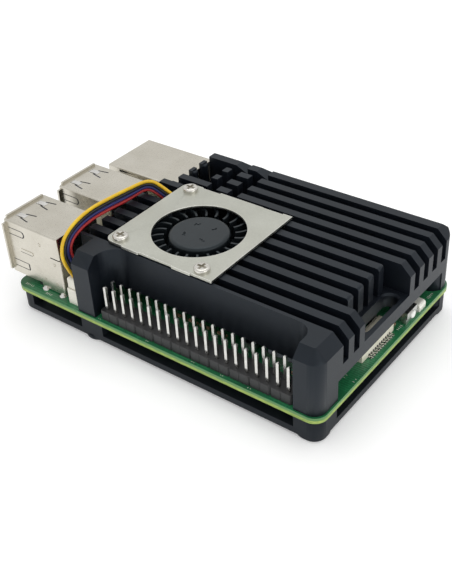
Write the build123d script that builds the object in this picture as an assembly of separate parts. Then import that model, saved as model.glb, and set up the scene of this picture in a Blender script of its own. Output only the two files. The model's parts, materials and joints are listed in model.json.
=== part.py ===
from build123d import *
import math
import os

# Single board computer in a finned two-shell aluminium case with a flat blower fan.
# Everything is laid out on the board datum: X from the card end towards the USB end, Y from the
# display-port edge towards the pin-header edge, Z up from the board's top face (millimetres).
# The last step moves each piece to the part frame: origin under the middle, on the feet.

os.makedirs("parts", exist_ok=True)

# ---------------------------------------------------------------- board
BOARD_L = 85.0
BOARD_W = 56.0
BOARD_T = 1.4
BOARD_R = 3.0
HOLE_INSET = 3.5
HOLE_PITCH_X = 58.0
HOLE_R = 1.35

# ---------------------------------------------------------------- case, both shells
CASE_INSET = 0.4
CASE_CORNER_R = 2.8
PILLAR_R = 3.1
PILLAR_X = 6.3
SCREW_R = 1.25
THREAD_PLAY = 0.05
SCREW_HEAD_R = 2.2
SCREW_HEAD_H = 1.6
SCREW_GRIP = 5.0
HEX_AF = 1.5

# ---------------------------------------------------------------- upper shell
SKIRT_Z = 4.9
ROOT_Z = 8.2
FIN_Z = 15.2
FIN_T = 2.0
FIN_PITCH = 4.1
FIN_FIRST_Y = 3.0
EDGE_CHAMFER = 2.4
FAR_CHAMFER = 1.3
HEADER_WALL = 0.8
HEADER_WALL_GAP = 4.65
POCKET_R_USB = 4.5
POCKET_R_CARD = 3.6
USB_REAR_GAP = 2.0
LAN_REAR_GAP = 0.4
PILLAR_USB_X = 2.9
SLOT_W = 2.8
SLOT_Y0 = 4.0
SLOT_Y1 = 17.4
RECESS_X = 5.65
RECESS_MARGIN = 1.0
FIN_END_R = 0.7
LIP_T = 1.1
FFC_SLOT_X = 5.0

# ---------------------------------------------------------------- lower shell
BASE_RIM_Z = -4.6
BASE_Z = -6.4
FOOT_H = 0.6
FOOT_R = 3.3
FOOT_EASE = 0.35
BASE_EASE = 0.25
BASE_END_INSET = 0.8
END_BLOCK_L = 4.2
BORE_STEP = 0.4

# ---------------------------------------------------------------- fan
PLATE_L = 30.0
FAN_FROM_PLATE_X = PLATE_L * 0.4733
FAN_FROM_PLATE_Y = PLATE_L * 0.475
LEAD_FROM_PLATE_Y = PLATE_L * 0.185
PLATE_T = 0.6
PLATE_OVER_FINS = 0.2
PLATE_X0 = 31.5
FAN_HOLE_R = PLATE_L * 0.355
FAN_BODY_INSET = 0.7
FAN_FLOOR_T = 0.8
FAN_WALL_T = 0.45
HUB_R = PLATE_L * 0.2333
HUB_WALL = 0.6
HUB_BELOW_PLATE = 0.5
BLADE_COUNT = 23
BLADE_R_IN = HUB_R + 1.0
BLADE_R_OUT = PLATE_L * 0.41
BLADE_T = 0.45
BLADE_SWEEP = 7.0
MARK_ANGLES = (-45.0, -128.0, 43.0, 137.0)
SHAFT_R = 0.75
FAN_U = HUB_R / 7.0
BEARING_R = 2.0 * FAN_U
BEARING_PLAY = 0.03
MAGNET_T = 0.7
YOKE_T = 0.35
STATOR_R = 4.5 * FAN_U
TUBE_WALL = 0.5 * FAN_U
STATOR_POLES = 6
FAN_SCREW_R = 1.0
FAN_HEAD_R = 1.8
FAN_HEAD_H = 0.95
FAN_POST_R = 1.4

# ---------------------------------------------------------------- connectors
PIN_PITCH = 2.54
PIN_SIDE = 0.64
PIN_COLUMNS = 20
PIN_TOP = 8.5
PIN_BLOCK_H = 2.5
USB_FACE_OVERHANG = 2.5
USB_L = 17.0
USB_W = 13.1
USB_H = 15.6
USB_FLANGE = 0.8
USB_LIP = 0.2
SHEET_T = 0.3
USB_BEND_R = 0.45
TAB_SLIT = 0.3
USB_PORT_H = 5.1
USB_PORT_Z = (4.0, 11.8)
USB2_FROM_EDGE = 9.0
USB3_FROM_EDGE = 26.95
LAN_Y = 10.2
LAN_W = 16.0
LAN_H = 13.5
LAN_L = 21.2
LAN_FACE_OVERHANG = 2.6
LAN_PORT_H = 9.2
TYPEC_X = 11.2
TYPEC_W = 8.94
TYPEC_H = 3.26
TYPEC_OVERHANG = 1.2
HDMI_X = (25.8, 39.2)
HDMI_W = 6.6
HDMI_H = 3.1
CAMERA_X = (49.6, 55.7)
CAMERA_L = 13.0
CAMERA_W = 3.6
CAMERA_H = 4.0
POE_X = 62.0
POE_Y = 9.6
FFC_X = 2.15
FFC_Y = 29.8
FFC_L = 13.2
FFC_D = 4.2
FFC_H = 2.0
FFC_PINS = 20
FFC_PITCH = 0.5
BUTTON_Y = 17.6
LED_Y = 13.2
CARD_W = 14.0
CARD_L = 14.6
CARD_H = 1.4

# ---------------------------------------------------------------- fan lead
WIRE_D = 0.8
WIRE_STEP = 0.9
LEAD_PITCH = 1.0
LEAD_COUNT = 4

FIT = 0.02

# ---------------------------------------------------------------- sizes that follow
HOLE_X1 = HOLE_INSET
HOLE_X2 = HOLE_INSET + HOLE_PITCH_X
HOLE_Y1 = HOLE_INSET
HOLE_Y2 = BOARD_W - HOLE_INSET
HOLES = [(x, y) for x in (HOLE_X1, HOLE_X2) for y in (HOLE_Y1, HOLE_Y2)]
UNDER = -BOARD_T
CASE_Y1 = BOARD_W - CASE_INSET
BASE_END_X = BOARD_L - BASE_END_INSET
USB_FACE = BOARD_L + USB_FACE_OVERHANG
USB_REAR = USB_FACE - USB_L
LAN_FACE = BOARD_L + LAN_FACE_OVERHANG
LAN_REAR = LAN_FACE - LAN_L
USB2_Y = BOARD_W - USB2_FROM_EDGE
USB3_Y = BOARD_W - USB3_FROM_EDGE
CASE_END = USB_REAR - USB_REAR_GAP
CASE_END_LAN = LAN_REAR - LAN_REAR_GAP
LAN_SIDE = LAN_Y + LAN_W / 2 + LAN_REAR_GAP
POCKET_Y = HOLE_Y2 - HEADER_WALL_GAP
POCKET_X0 = PILLAR_X
POCKET_X1 = HOLE_X2 - 2.2
PILLAR_END = HOLE_X2 + PILLAR_USB_X
FIN_COUNT = int((POCKET_Y - 2.5 - FIN_FIRST_Y) / FIN_PITCH) + 1
FIN_Y = [FIN_FIRST_Y + FIN_PITCH * k for k in range(FIN_COUNT)]
PLATE_Z0 = FIN_Z + PLATE_OVER_FINS
PLATE_Z1 = PLATE_Z0 + PLATE_T
PLATE_X1 = PLATE_X0 + PLATE_L
PLATE_Y1 = POCKET_Y
PLATE_Y0 = PLATE_Y1 - PLATE_L
FAN_X = PLATE_X0 + FAN_FROM_PLATE_X
FAN_Y = PLATE_Y1 - FAN_FROM_PLATE_Y
LEAD_Y = PLATE_Y0 + LEAD_FROM_PLATE_Y
FAN_X0 = PLATE_X0 + FAN_BODY_INSET
FAN_X1 = PLATE_X1 - FAN_BODY_INSET
FAN_Y0 = PLATE_Y0 + 0.4
FAN_Y1 = POCKET_Y - HEADER_WALL - 0.25
PIN_ROW_Y = HOLE_Y2
PIN_MID_X = (HOLE_X1 + HOLE_X2) / 2
SCREW_TOP = UNDER + BOARD_T + SCREW_GRIP
FEET_Z = BASE_Z - FOOT_H
FRONT_X = max(USB_FACE + USB_LIP, LAN_FACE)
ORIGIN = Vector(FRONT_X / 2, (BOARD_W - TYPEC_OVERHANG) / 2, FEET_Z)


def block(x0, x1, y0, y1, z0, z1):
    """Box between two corners."""
    centre = Pos((x0 + x1) / 2, (y0 + y1) / 2, (z0 + z1) / 2)
    return centre * Box(x1 - x0, y1 - y0, z1 - z0)


def rod(x, y, z0, z1, r):
    """Upright cylinder."""
    return Pos(x, y, (z0 + z1) / 2) * Cylinder(r, z1 - z0)


def slab(x0, x1, y0, y1, z0, z1, r):
    """Box with rounded upright edges."""
    flat = Pos((x0 + x1) / 2, (y0 + y1) / 2, z0) * RectangleRounded(x1 - x0, y1 - y0, r)
    return extrude(flat, amount=z1 - z0, dir=(0, 0, 1))


def prism_x(points, x0, x1):
    """Profile given as (y, z) points, run along X."""
    face = Plane.YZ * make_face(Polyline(*points, close=True))
    return Pos(x0, 0, 0) * extrude(face, amount=x1 - x0)


def prism_y(points, y0, y1):
    """Profile given as (x, z) points, run along Y."""
    face = Plane.XZ * make_face(Polyline(*points, close=True))
    return Pos(0, y1, 0) * extrude(face, amount=y1 - y0)


def polygon(points, z0, z1):
    """Plan outline given as (x, y) points, run upwards."""
    return Pos(0, 0, z0) * extrude(make_face(Polyline(*points, close=True)), amount=z1 - z0)


def cross_recess(x, y, top, r, depth):
    """Cross-shaped driver recess."""
    arm = 0.17 * r
    one = block(x - 0.62 * r, x + 0.62 * r, y - arm, y + arm, top - depth, top + 1)
    two = block(x - arm, x + arm, y - 0.62 * r, y + 0.62 * r, top - depth, top + 1)
    return one + two


def save(name, *shapes):
    """Moves the solids to the part frame and writes them as one node."""
    solids = [solid for shape in shapes for solid in shape.solids()]
    export_step(Pos(-ORIGIN) * Compound(solids), "parts/" + name + ".step")


# ================================================================ printed circuit board
pcb = slab(0, BOARD_L, 0, BOARD_W, UNDER, 0, BOARD_R)
drills = [rod(x, y, UNDER - 1, 1, HOLE_R) for x, y in HOLES]
PIN_XY = []
for column in range(PIN_COLUMNS):
    for row in (-0.5, 0.5):
        px = PIN_MID_X + (column - (PIN_COLUMNS - 1) / 2) * PIN_PITCH
        PIN_XY.append((px, PIN_ROW_Y + row * PIN_PITCH))
drills += [rod(x, y, UNDER - 1, 1, 0.5) for x, y in PIN_XY]
POE_XY = [(POE_X + i * PIN_PITCH, POE_Y + j * PIN_PITCH) for i in (-0.5, 0.5) for j in (-0.5, 0.5)]
drills += [rod(x, y, UNDER - 1, 1, 0.5) for x, y in POE_XY]
USB_LEG_X = (USB_REAR + 0.9, USB_REAR + 6.4)
LEG_L = 1.3
USB_LEGS = []
for mid in (USB2_Y, USB3_Y):
    for side in (-1, 1):
        for x in USB_LEG_X:
            USB_LEGS.append((x, mid + side * (USB_W - SHEET_T) / 2))
drills += [rod(x, y, UNDER - 1, 1, 0.85) for x, y in USB_LEGS]
LAN_LEG_X = (LAN_REAR + 6.0, LAN_REAR + 12.0)
LAN_LEGS = [(x, LAN_Y + side * (LAN_W - SHEET_T) / 2) for side in (-1, 1) for x in LAN_LEG_X]
drills += [rod(x, y, UNDER - 1, 1, 0.85) for x, y in LAN_LEGS]
save("pcb", pcb - drills)

# ================================================================ upper shell
outline = [
    (CASE_INSET, CASE_INSET),
    (CASE_END_LAN, CASE_INSET),
    (CASE_END_LAN, LAN_SIDE),
    (CASE_END, LAN_SIDE),
    (CASE_END, POCKET_Y),
    (PILLAR_END, POCKET_Y),
    (PILLAR_END, CASE_Y1),
    (CASE_INSET, CASE_Y1),
]
shell = polygon(outline, SKIRT_Z, FIN_Z)
# The far card corner is rounded last, so the smaller bevel of the far side can meet it.
card_corners = shell.edges().filter_by(Axis.Z).group_by(Axis.X)[0].sort_by(Axis.Y)
shell = fillet(card_corners[-1], CASE_CORNER_R)
rim = shell.edges().group_by(Axis.Z)[-1]
bevelled = [
    e
    for e in rim
    if e.center().X < CASE_INSET + 3.1 or e.center().Y > CASE_Y1 - 0.1
]
bevelled = [e for e in bevelled if e.center().Y > CASE_INSET + 0.1]
shell = chamfer(bevelled, EDGE_CHAMFER)
far_bevel = [
    (CASE_INSET - 1, FIN_Z - FAR_CHAMFER - 1),
    (CASE_INSET - 1, FIN_Z + 1),
    (CASE_INSET + FAR_CHAMFER + 1, FIN_Z + 1),
]
shell = shell - prism_x(far_bevel, CASE_INSET - 1, CASE_END_LAN + 1)
rounding = slab(CASE_INSET, BOARD_L + 20, CASE_INSET, BOARD_W + 20, SKIRT_Z - 1, FIN_Z + 1, CASE_CORNER_R)
shell = shell & rounding
shell = shell.solids()[0]

# Pillars down to the board around each screw.
pillars = []
for x, y in HOLES:
    near = y > BOARD_W / 2
    left = x > BOARD_L / 2
    post = rod(x, y, 0, SKIRT_Z + 1, PILLAR_R)
    if near:
        x0 = POCKET_X1 if left else CASE_INSET
        x1 = PILLAR_END if left else POCKET_X0
        side = block(x0, x1, HOLE_Y2 - 3.9, CASE_Y1, 0, SKIRT_Z + 1)
    else:
        x0 = x - PILLAR_R if left else CASE_INSET
        x1 = x + 2.0 if left else x + 1.0
        side = block(x0, x1, CASE_INSET, CASE_INSET + 4.4, 0, SKIRT_Z + 1)
    if not left:
        corner_y0 = CASE_INSET if not near else CASE_Y1 - 12
        corner_y1 = CASE_INSET + 12 if not near else CASE_Y1
        keep = slab(CASE_INSET, 20, corner_y0, corner_y1, 0, SKIRT_Z + 1, CASE_CORNER_R)
        side = side & keep
        post = post & keep
    pillars += [post, side]
shell = shell + pillars

cuts = []
# Grooves between the fins, and the last one beside the header wall.
groove_edges = [(y + FIN_T / 2, y + FIN_PITCH - FIN_T / 2) for y in FIN_Y[:-1]]
groove_edges.append((FIN_Y[-1] + FIN_T / 2, POCKET_Y - HEADER_WALL))
for y0, y1 in groove_edges:
    cuts.append(block(-1, CASE_END + 1, y0, y1, ROOT_Z, FIN_Z + 1))
# Fan well, with the fins beside it cut back for the lead.
cuts.append(block(PLATE_X0 + 0.4, PLATE_X1 + 1.2, PLATE_Y0 - 0.15, POCKET_Y - HEADER_WALL, ROOT_Z, FIN_Z + 1))
cuts.append(block(PLATE_X1 - 1, CASE_END + 1, LEAD_Y - FIN_T, LEAD_Y + FIN_T + 0.1, ROOT_Z, FIN_Z + 1))
# Pocket over the pin header, open above and at the long side.
pocket = block(POCKET_X0, POCKET_X1, POCKET_Y, CASE_Y1 + 5, -1, FIN_Z + 1)
inner = pocket.edges().filter_by(Axis.Z).group_by(Axis.Y)[0].sort_by(Axis.X)
pocket = fillet(inner[0], POCKET_R_CARD)
inner = pocket.edges().filter_by(Axis.Z).group_by(Axis.Y)[0].sort_by(Axis.X)
pocket = fillet(inner[-1], POCKET_R_USB)
cuts.append(pocket)
# Recess at the card end, with rounded fin ends above it and a slot down to the ribbon socket.
slot_y0 = FFC_Y - FFC_L / 2 - 1.2
slot_y1 = FFC_Y + FFC_L / 2 + 0.4
below = [y + FIN_T / 2 for y in FIN_Y if y + FIN_T / 2 <= slot_y0 - RECESS_MARGIN]
above = [y - FIN_T / 2 for y in FIN_Y if y - FIN_T / 2 >= slot_y1 + RECESS_MARGIN]
recess_y0 = max(below)
recess_y1 = min(above, default=POCKET_Y - HEADER_WALL)
cuts.append(block(-1, RECESS_X, recess_y0, recess_y1, ROOT_Z, FIN_Z + 1))
round_over = block(RECESS_X - 1, RECESS_X + FIN_END_R, recess_y0, recess_y1, FIN_Z - FIN_END_R, FIN_Z + 1)
crown = Pos(RECESS_X + FIN_END_R, (recess_y0 + recess_y1) / 2, FIN_Z - FIN_END_R)
crown = crown * Rot(90, 0, 0) * Cylinder(FIN_END_R, recess_y1 - recess_y0 + 2)
cuts.append(round_over - crown)
slot_x0 = CASE_INSET + LIP_T
slot_r = (FFC_SLOT_X - slot_x0) / 2 - 0.05
cuts.append(slab(slot_x0, FFC_SLOT_X, slot_y0, slot_y1, SKIRT_Z - 1, FIN_Z, slot_r))
# Eased rim, deepest at the slot's far end.
dish = Pos(slot_x0 + slot_r, slot_y0 + slot_r, ROOT_Z) * Cone(slot_r, slot_r + 1.0, 1.0)
cuts.append(dish & block(slot_x0 - 0.2, RECESS_X, recess_y0, recess_y1, ROOT_Z - 1, FIN_Z))
# Slots for the camera ribbons across the fins beside the network jack.
for x in CAMERA_X:
    cuts.append(block(x - SLOT_W / 2, x + SLOT_W / 2, SLOT_Y0, SLOT_Y1, SKIRT_Z - 1, FIN_Z + 1))
    notch = [
        (x - SLOT_W / 2 - 0.3, FIN_Z - 1.5),
        (x + SLOT_W / 2 + 0.3, FIN_Z + 0.01),
        (x - SLOT_W / 2 - 0.3, FIN_Z + 1),
    ]
    cuts.append(prism_y(notch, -1, SLOT_Y0 + 0.01))
# Well over the power header, with half-round fin stubs left at its end.
well_x0 = CAMERA_X[1] + SLOT_W / 2 + 1.7
well_x1 = CASE_END_LAN - 1.0
well_y0 = FIN_Y[0] + FIN_T / 2
well_y1 = FIN_Y[2] + FIN_T / 2 + 1.0
cuts.append(slab(well_x0, well_x1, well_y0, well_y1, ROOT_Z, FIN_Z + 1, 1.6))
cuts.append(slab(well_x0, POE_X + 3.2, POE_Y - 2.9, POE_Y + 3.3, SKIRT_Z - 1, ROOT_Z + 1, 0.8))
# Tapped holes.
cuts += [rod(x, y, -1, SCREW_TOP + 1.0, SCREW_R + THREAD_PLAY) for x, y in HOLES]
shell = shell - cuts
stubs = []
for k in (1, 2):
    stub = rod(CASE_END_LAN - 0.75, FIN_Y[k], ROOT_Z - 0.5, FIN_Z - 0.3, 1.0)
    stubs.append(fillet(stub.edges().group_by(Axis.Z)[-1], 0.45))
shell = shell + stubs

# Contact blocks under the shell, one above each hot chip.
PAD_T = 0.8
CHIPS = {
    "soc": (30.5, 30.0, 17.0, 17.0, 2.4),
    "ram": (47.5, 31.5, 12.0, 14.0, 1.1),
    "io": (61.0, 31.0, 12.0, 12.0, 1.2),
    "pmic": (19.0, 14.0, 7.0, 7.0, 0.9),
    "radio": (13.2, 41.5, 12.0, 8.0, 1.6),
}
blocks = []
pads = {}
for name, (x, y, l, w, h) in CHIPS.items():
    face = h + PAD_T
    blocks.append(block(x - l / 2, x + l / 2, y - w / 2, y + w / 2, face, SKIRT_Z + 0.5))
    pads[name] = block(x - l / 2, x + l / 2, y - w / 2, y + w / 2, h, face)
shell = shell + blocks
save("case_upper_shell", shell)
save("thermal_pads", *pads.values())

# ================================================================ lower shell
base = slab(CASE_INSET, BASE_END_X, CASE_INSET, CASE_Y1, BASE_Z, BASE_RIM_Z, CASE_CORNER_R)
base = chamfer(base.edges().group_by(Axis.Z)[0], BASE_EASE)
full = slab(CASE_INSET, BASE_END_X, CASE_INSET, CASE_Y1, BASE_RIM_Z - 0.5, UNDER, CASE_CORNER_R)
supports = []
for x, y in HOLES:
    near = y > BOARD_W / 2
    left = x > BOARD_L / 2
    y0 = HOLE_Y2 - 3.6 if near else CASE_INSET
    y1 = CASE_Y1 if near else HOLE_Y1 + 1.1
    x0 = x - 3.8 if left else CASE_INSET
    x1 = x + 2.6 if left else PILLAR_X
    supports.append(block(x0, x1, y0, y1, BASE_RIM_Z - 0.5, UNDER) & full)
    supports.append(rod(x, y, BASE_RIM_Z - 0.5, UNDER, PILLAR_R) & full)
for y0, y1 in ((CASE_INSET, CASE_INSET + 3.0), (CASE_Y1 - 3.0, CASE_Y1)):
    supports.append(block(BASE_END_X - END_BLOCK_L, BASE_END_X, y0, y1, BASE_RIM_Z - 0.5, UNDER) & full)
feet = []
for x, y in HOLES:
    if x < BOARD_L / 2:
        y0 = CASE_INSET if y < BOARD_W / 2 else CASE_Y1 - 2 * FOOT_R
        x1 = CASE_INSET + 2 * FOOT_R
        foot = slab(CASE_INSET, x1, y0, y0 + 2 * FOOT_R, FEET_Z, BASE_Z + 0.6, CASE_CORNER_R)
    else:
        foot = rod(x, y, FEET_Z, BASE_Z + 0.6, FOOT_R)
    feet.append(chamfer(foot.edges().group_by(Axis.Z)[0], FOOT_EASE))
base = base + supports + feet
HEAD_SEAT = FEET_Z + SCREW_HEAD_H + BORE_STEP
bores = []
for x, y in HOLES:
    bores.append(rod(x, y, FEET_Z - 1, HEAD_SEAT, SCREW_HEAD_R + 0.2))
    bores.append(rod(x, y, FEET_Z, 1, SCREW_R + 0.1))
save("case_lower_shell", base - bores)

screws = []
for x, y in HOLES:
    screw = rod(x, y, HEAD_SEAT, SCREW_TOP, SCREW_R)
    screw = screw + rod(x, y, HEAD_SEAT - SCREW_HEAD_H, HEAD_SEAT, SCREW_HEAD_R)
    hexagon = Pos(x, y, HEAD_SEAT - SCREW_HEAD_H) * RegularPolygon(HEX_AF / math.sqrt(3), 6)
    screws.append(screw - extrude(hexagon, amount=0.9, dir=(0, 0, 1)))
save("case_screws", *screws)

# ================================================================ fan
# Cover plate: two rounded lugs towards the USB end, stepped long edges.
STEP = 0.3
plate_points = [
    (PLATE_X0, PLATE_Y0),
    (PLATE_X0 + PLATE_L * 0.0833, PLATE_Y0),
    (PLATE_X0 + PLATE_L * 0.0833, PLATE_Y0 + STEP),
    (PLATE_X0 + PLATE_L * 0.26, PLATE_Y0 + STEP),
    (PLATE_X0 + PLATE_L * 0.26, PLATE_Y0 + STEP / 2),
    (PLATE_X0 + PLATE_L * 0.6667, PLATE_Y0 + STEP / 2),
    (PLATE_X0 + PLATE_L * 0.6667, PLATE_Y0 + 2 * STEP),
    (PLATE_X0 + PLATE_L * 0.8333, PLATE_Y0 + 2 * STEP),
    (PLATE_X0 + PLATE_L * 0.8333, PLATE_Y0 + STEP),
    (PLATE_X1, PLATE_Y0 + STEP),
    (PLATE_X1, PLATE_Y1 - STEP),
    (PLATE_X0 + PLATE_L * 0.8233, PLATE_Y1 - STEP),
    (PLATE_X0 + PLATE_L * 0.8233, PLATE_Y1),
    (PLATE_X0 + PLATE_L * 0.6567, PLATE_Y1),
    (PLATE_X0 + PLATE_L * 0.6567, PLATE_Y1 - STEP),
    (PLATE_X0 + PLATE_L * 0.35, PLATE_Y1 - STEP),
    (PLATE_X0 + PLATE_L * 0.35, PLATE_Y1),
    (PLATE_X0 + PLATE_L * 0.1833, PLATE_Y1),
    (PLATE_X0 + PLATE_L * 0.1833, PLATE_Y1 - STEP),
    (PLATE_X0, PLATE_Y1 - STEP),
]
plate = polygon(plate_points, PLATE_Z0, PLATE_Z1)
lugs = plate.edges().filter_by(Axis.Z).group_by(Axis.X)[-1]
plate = fillet(lugs, 2.2)
FAN_SCREWS = [
    (PLATE_X1 - 3.1, PLATE_Y1 - 2.5),
    (PLATE_X1 - 3.1, PLATE_Y0 + 2.9),
    (PLATE_X0 + 4.1, PLATE_Y1 - 2.5),
]
openings = [rod(FAN_X, FAN_Y, PLATE_Z0 - 1, PLATE_Z1 + 1, FAN_HOLE_R)]
openings += [rod(x, y, PLATE_Z0 - 1, PLATE_Z1 + 1, FAN_SCREW_R + 0.1) for x, y in FAN_SCREWS]
save("fan_cover_plate", plate - openings)

fan_screws = []
for x, y in FAN_SCREWS:
    shank = rod(x, y, PLATE_Z0 - 4.0, PLATE_Z1, FAN_SCREW_R)
    head = rod(x, y, PLATE_Z1, PLATE_Z1 + FAN_HEAD_H, FAN_HEAD_R)
    head = fillet(head.edges().group_by(Axis.Z)[-1], 0.5)
    fan_screws.append(shank + head - cross_recess(x, y, PLATE_Z1 + FAN_HEAD_H, FAN_HEAD_R, 0.6))
save("fan_screws", *fan_screws)

# Housing: floor, two side walls, three screw posts, bearing tube and the lead's clamp.
FAN_FLOOR = ROOT_Z
FAN_DECK = FAN_FLOOR + FAN_FLOOR_T
housing = slab(FAN_X0, FAN_X1, FAN_Y0, FAN_Y1, FAN_FLOOR, FAN_DECK, 1.2)
wall_inner = BLADE_R_OUT + 0.35
walls = [
    block(FAN_X0 + 1.2, FAN_X1 - 1.2, FAN_Y0, FAN_Y0 + FAN_WALL_T, FAN_FLOOR, PLATE_Z0),
    block(FAN_X0 + 1.2, FAN_X1 - 1.2, FAN_Y1 - FAN_WALL_T, FAN_Y1, FAN_FLOOR, PLATE_Z0),
]
posts = [rod(x, y, FAN_FLOOR, PLATE_Z0, FAN_POST_R) for x, y in FAN_SCREWS]
tube = rod(FAN_X, FAN_Y, FAN_FLOOR, FAN_DECK + 3.4, BEARING_R + TUBE_WALL)
LEAD_Z = PLATE_Z0 - 0.95
clamp = block(FAN_X1 - 1.2, FAN_X1, LEAD_Y - 0.9, LEAD_Y + 0.9, FAN_FLOOR, PLATE_Z0)
housing = housing + walls + posts + [tube, clamp]
bore_r = FAN_SCREW_R + THREAD_PLAY
housing = housing - [rod(x, y, PLATE_Z0 - 4.4, PLATE_Z0 + 1, bore_r) for x, y in FAN_SCREWS]
housing = housing - rod(FAN_X, FAN_Y, FAN_FLOOR + 0.4, FIN_Z, BEARING_R + FIT)
housing = housing - rod(FAN_X, FAN_Y, FAN_FLOOR - 1, FAN_FLOOR + 0.1, 0.2)
save("fan_housing", housing)

bearing = rod(FAN_X, FAN_Y, FAN_FLOOR + 0.4, FAN_DECK + 3.2, BEARING_R)
bearing = bearing - rod(FAN_X, FAN_Y, FAN_FLOOR, FIN_Z, SHAFT_R + BEARING_PLAY)
save("fan_bearing", bearing)

HUB_TOP = PLATE_Z1 - HUB_BELOW_PLATE
HUB_BOTTOM = FAN_DECK + 1.0
shaft = rod(FAN_X, FAN_Y, FAN_FLOOR + 0.6, HUB_TOP - HUB_WALL, SHAFT_R)
save("fan_shaft", shaft)

hub = rod(FAN_X, FAN_Y, HUB_BOTTOM, HUB_TOP, HUB_R)
hub = fillet(hub.edges().group_by(Axis.Z)[-1], 0.9)
hub = hub - rod(FAN_X, FAN_Y, HUB_BOTTOM - 1, HUB_TOP - HUB_WALL - 0.3, HUB_R - HUB_WALL)
collar = rod(FAN_X, FAN_Y, HUB_TOP - HUB_WALL - 1.6, HUB_TOP - HUB_WALL, SHAFT_R + 0.7)
hub = hub + collar - rod(FAN_X, FAN_Y, HUB_BOTTOM, HUB_TOP - HUB_WALL, SHAFT_R + FIT)
web = rod(FAN_X, FAN_Y, HUB_BOTTOM, HUB_BOTTOM + 0.5, BLADE_R_OUT) - rod(FAN_X, FAN_Y, 0, FIN_Z, HUB_R - 0.2)
BLADE_TOP = PLATE_Z0 - 0.5
blades = []
for k in range(BLADE_COUNT):
    turn = 360 / BLADE_COUNT * k
    a0 = math.radians(turn)
    a1 = math.radians(turn + BLADE_SWEEP * 0.35)
    a2 = math.radians(turn + BLADE_SWEEP * 1.5)
    mid = (BLADE_R_IN + BLADE_R_OUT) / 2
    inner_end = (BLADE_R_IN * math.cos(a0), BLADE_R_IN * math.sin(a0))
    middle = (mid * math.cos(a1), mid * math.sin(a1))
    outer_end = (BLADE_R_OUT * math.cos(a2), BLADE_R_OUT * math.sin(a2))
    camber = ThreePointArc(inner_end, middle, outer_end)
    foil = trace(camber, line_width=BLADE_T)
    blades.append(Pos(FAN_X, FAN_Y, HUB_BOTTOM + 0.2) * extrude(foil, amount=BLADE_TOP - HUB_BOTTOM - 0.2))
impeller = hub + web + blades
MARK_R = 3.4 * FAN_U
marks = []
for k, a in enumerate(MARK_ANGLES):
    a = math.radians(a)
    spot = Pos(FAN_X + MARK_R * math.cos(a), FAN_Y + MARK_R * math.sin(a), HUB_TOP) * Rot(0, 0, 40 * k)
    marks.append(spot * Box(1.1, 0.3, 0.3))
    marks.append(spot * Pos(0.3, 0.45, 0) * Box(0.3, 0.6, 0.3))
    marks.append(spot * Pos(-0.45, -0.4, 0) * Box(0.5, 0.3, 0.24))
impeller = impeller - marks
save("fan_impeller", impeller)

yoke_r = HUB_R - HUB_WALL - FIT
ring_top = HUB_TOP - HUB_WALL - 0.35
yoke = rod(FAN_X, FAN_Y, HUB_BOTTOM + 0.3, ring_top, yoke_r)
yoke = yoke - rod(FAN_X, FAN_Y, 0, FIN_Z + 1, yoke_r - YOKE_T)
save("fan_yoke_ring", yoke)
magnet = rod(FAN_X, FAN_Y, HUB_BOTTOM + 0.3, ring_top, yoke_r - YOKE_T - FIT)
magnet = magnet - rod(FAN_X, FAN_Y, 0, FIN_Z + 1, yoke_r - YOKE_T - FIT - MAGNET_T)
save("fan_magnet_ring", magnet)

# Stator: star of six teeth, a winding on each, on a small ring board.
STATOR_Z0 = FAN_DECK + 1.6
STATOR_Z1 = STATOR_Z0 + 1.4
tube_r = BEARING_R + TUBE_WALL
core = rod(FAN_X, FAN_Y, STATOR_Z0, STATOR_Z1, tube_r + 0.6 * FAN_U)
for k in range(STATOR_POLES):
    swing = Pos(FAN_X, FAN_Y, (STATOR_Z0 + STATOR_Z1) / 2) * Rot(0, 0, 360 / STATOR_POLES * k)
    arm = Box(STATOR_R - tube_r, 0.6, STATOR_Z1 - STATOR_Z0)
    core = core + swing * Pos((tube_r + STATOR_R) / 2, 0, 0) * arm
    shoe = Box(0.5 * FAN_U, 2.2 * FAN_U, STATOR_Z1 - STATOR_Z0)
    core = core + swing * Pos(STATOR_R - 0.2 * FAN_U, 0, 0) * shoe
core = core - rod(FAN_X, FAN_Y, 0, FIN_Z, tube_r + FIT)
save("fan_stator_core", core)
coils = []
for k in range(STATOR_POLES):
    swing = Pos(FAN_X, FAN_Y, (STATOR_Z0 + STATOR_Z1) / 2) * Rot(0, 0, 360 / STATOR_POLES * k)
    coil = Box(0.7 * FAN_U, 1.3, STATOR_Z1 - STATOR_Z0 + 0.7)
    coil = coil - Box(2, 0.6 + 2 * FIT, STATOR_Z1 - STATOR_Z0 + 2 * FIT)
    coils.append(swing * Pos(tube_r + 1.05 * FAN_U, 0, 0) * coil)
save("fan_stator_windings", *coils)
ring_board = rod(FAN_X, FAN_Y, FAN_DECK, FAN_DECK + 0.5, 5.2 * FAN_U)
ring_board = ring_board - rod(FAN_X, FAN_Y, 0, FIN_Z, tube_r + FIT)
save("fan_drive_board", ring_board)

# ================================================================ fan lead and its plug
PLUG_X = PILLAR_END + 2.4
PLUG_Y = BOARD_W - 4.4
PLUG_TOP = 7.0
HEADER_TOP = 4.1


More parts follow.
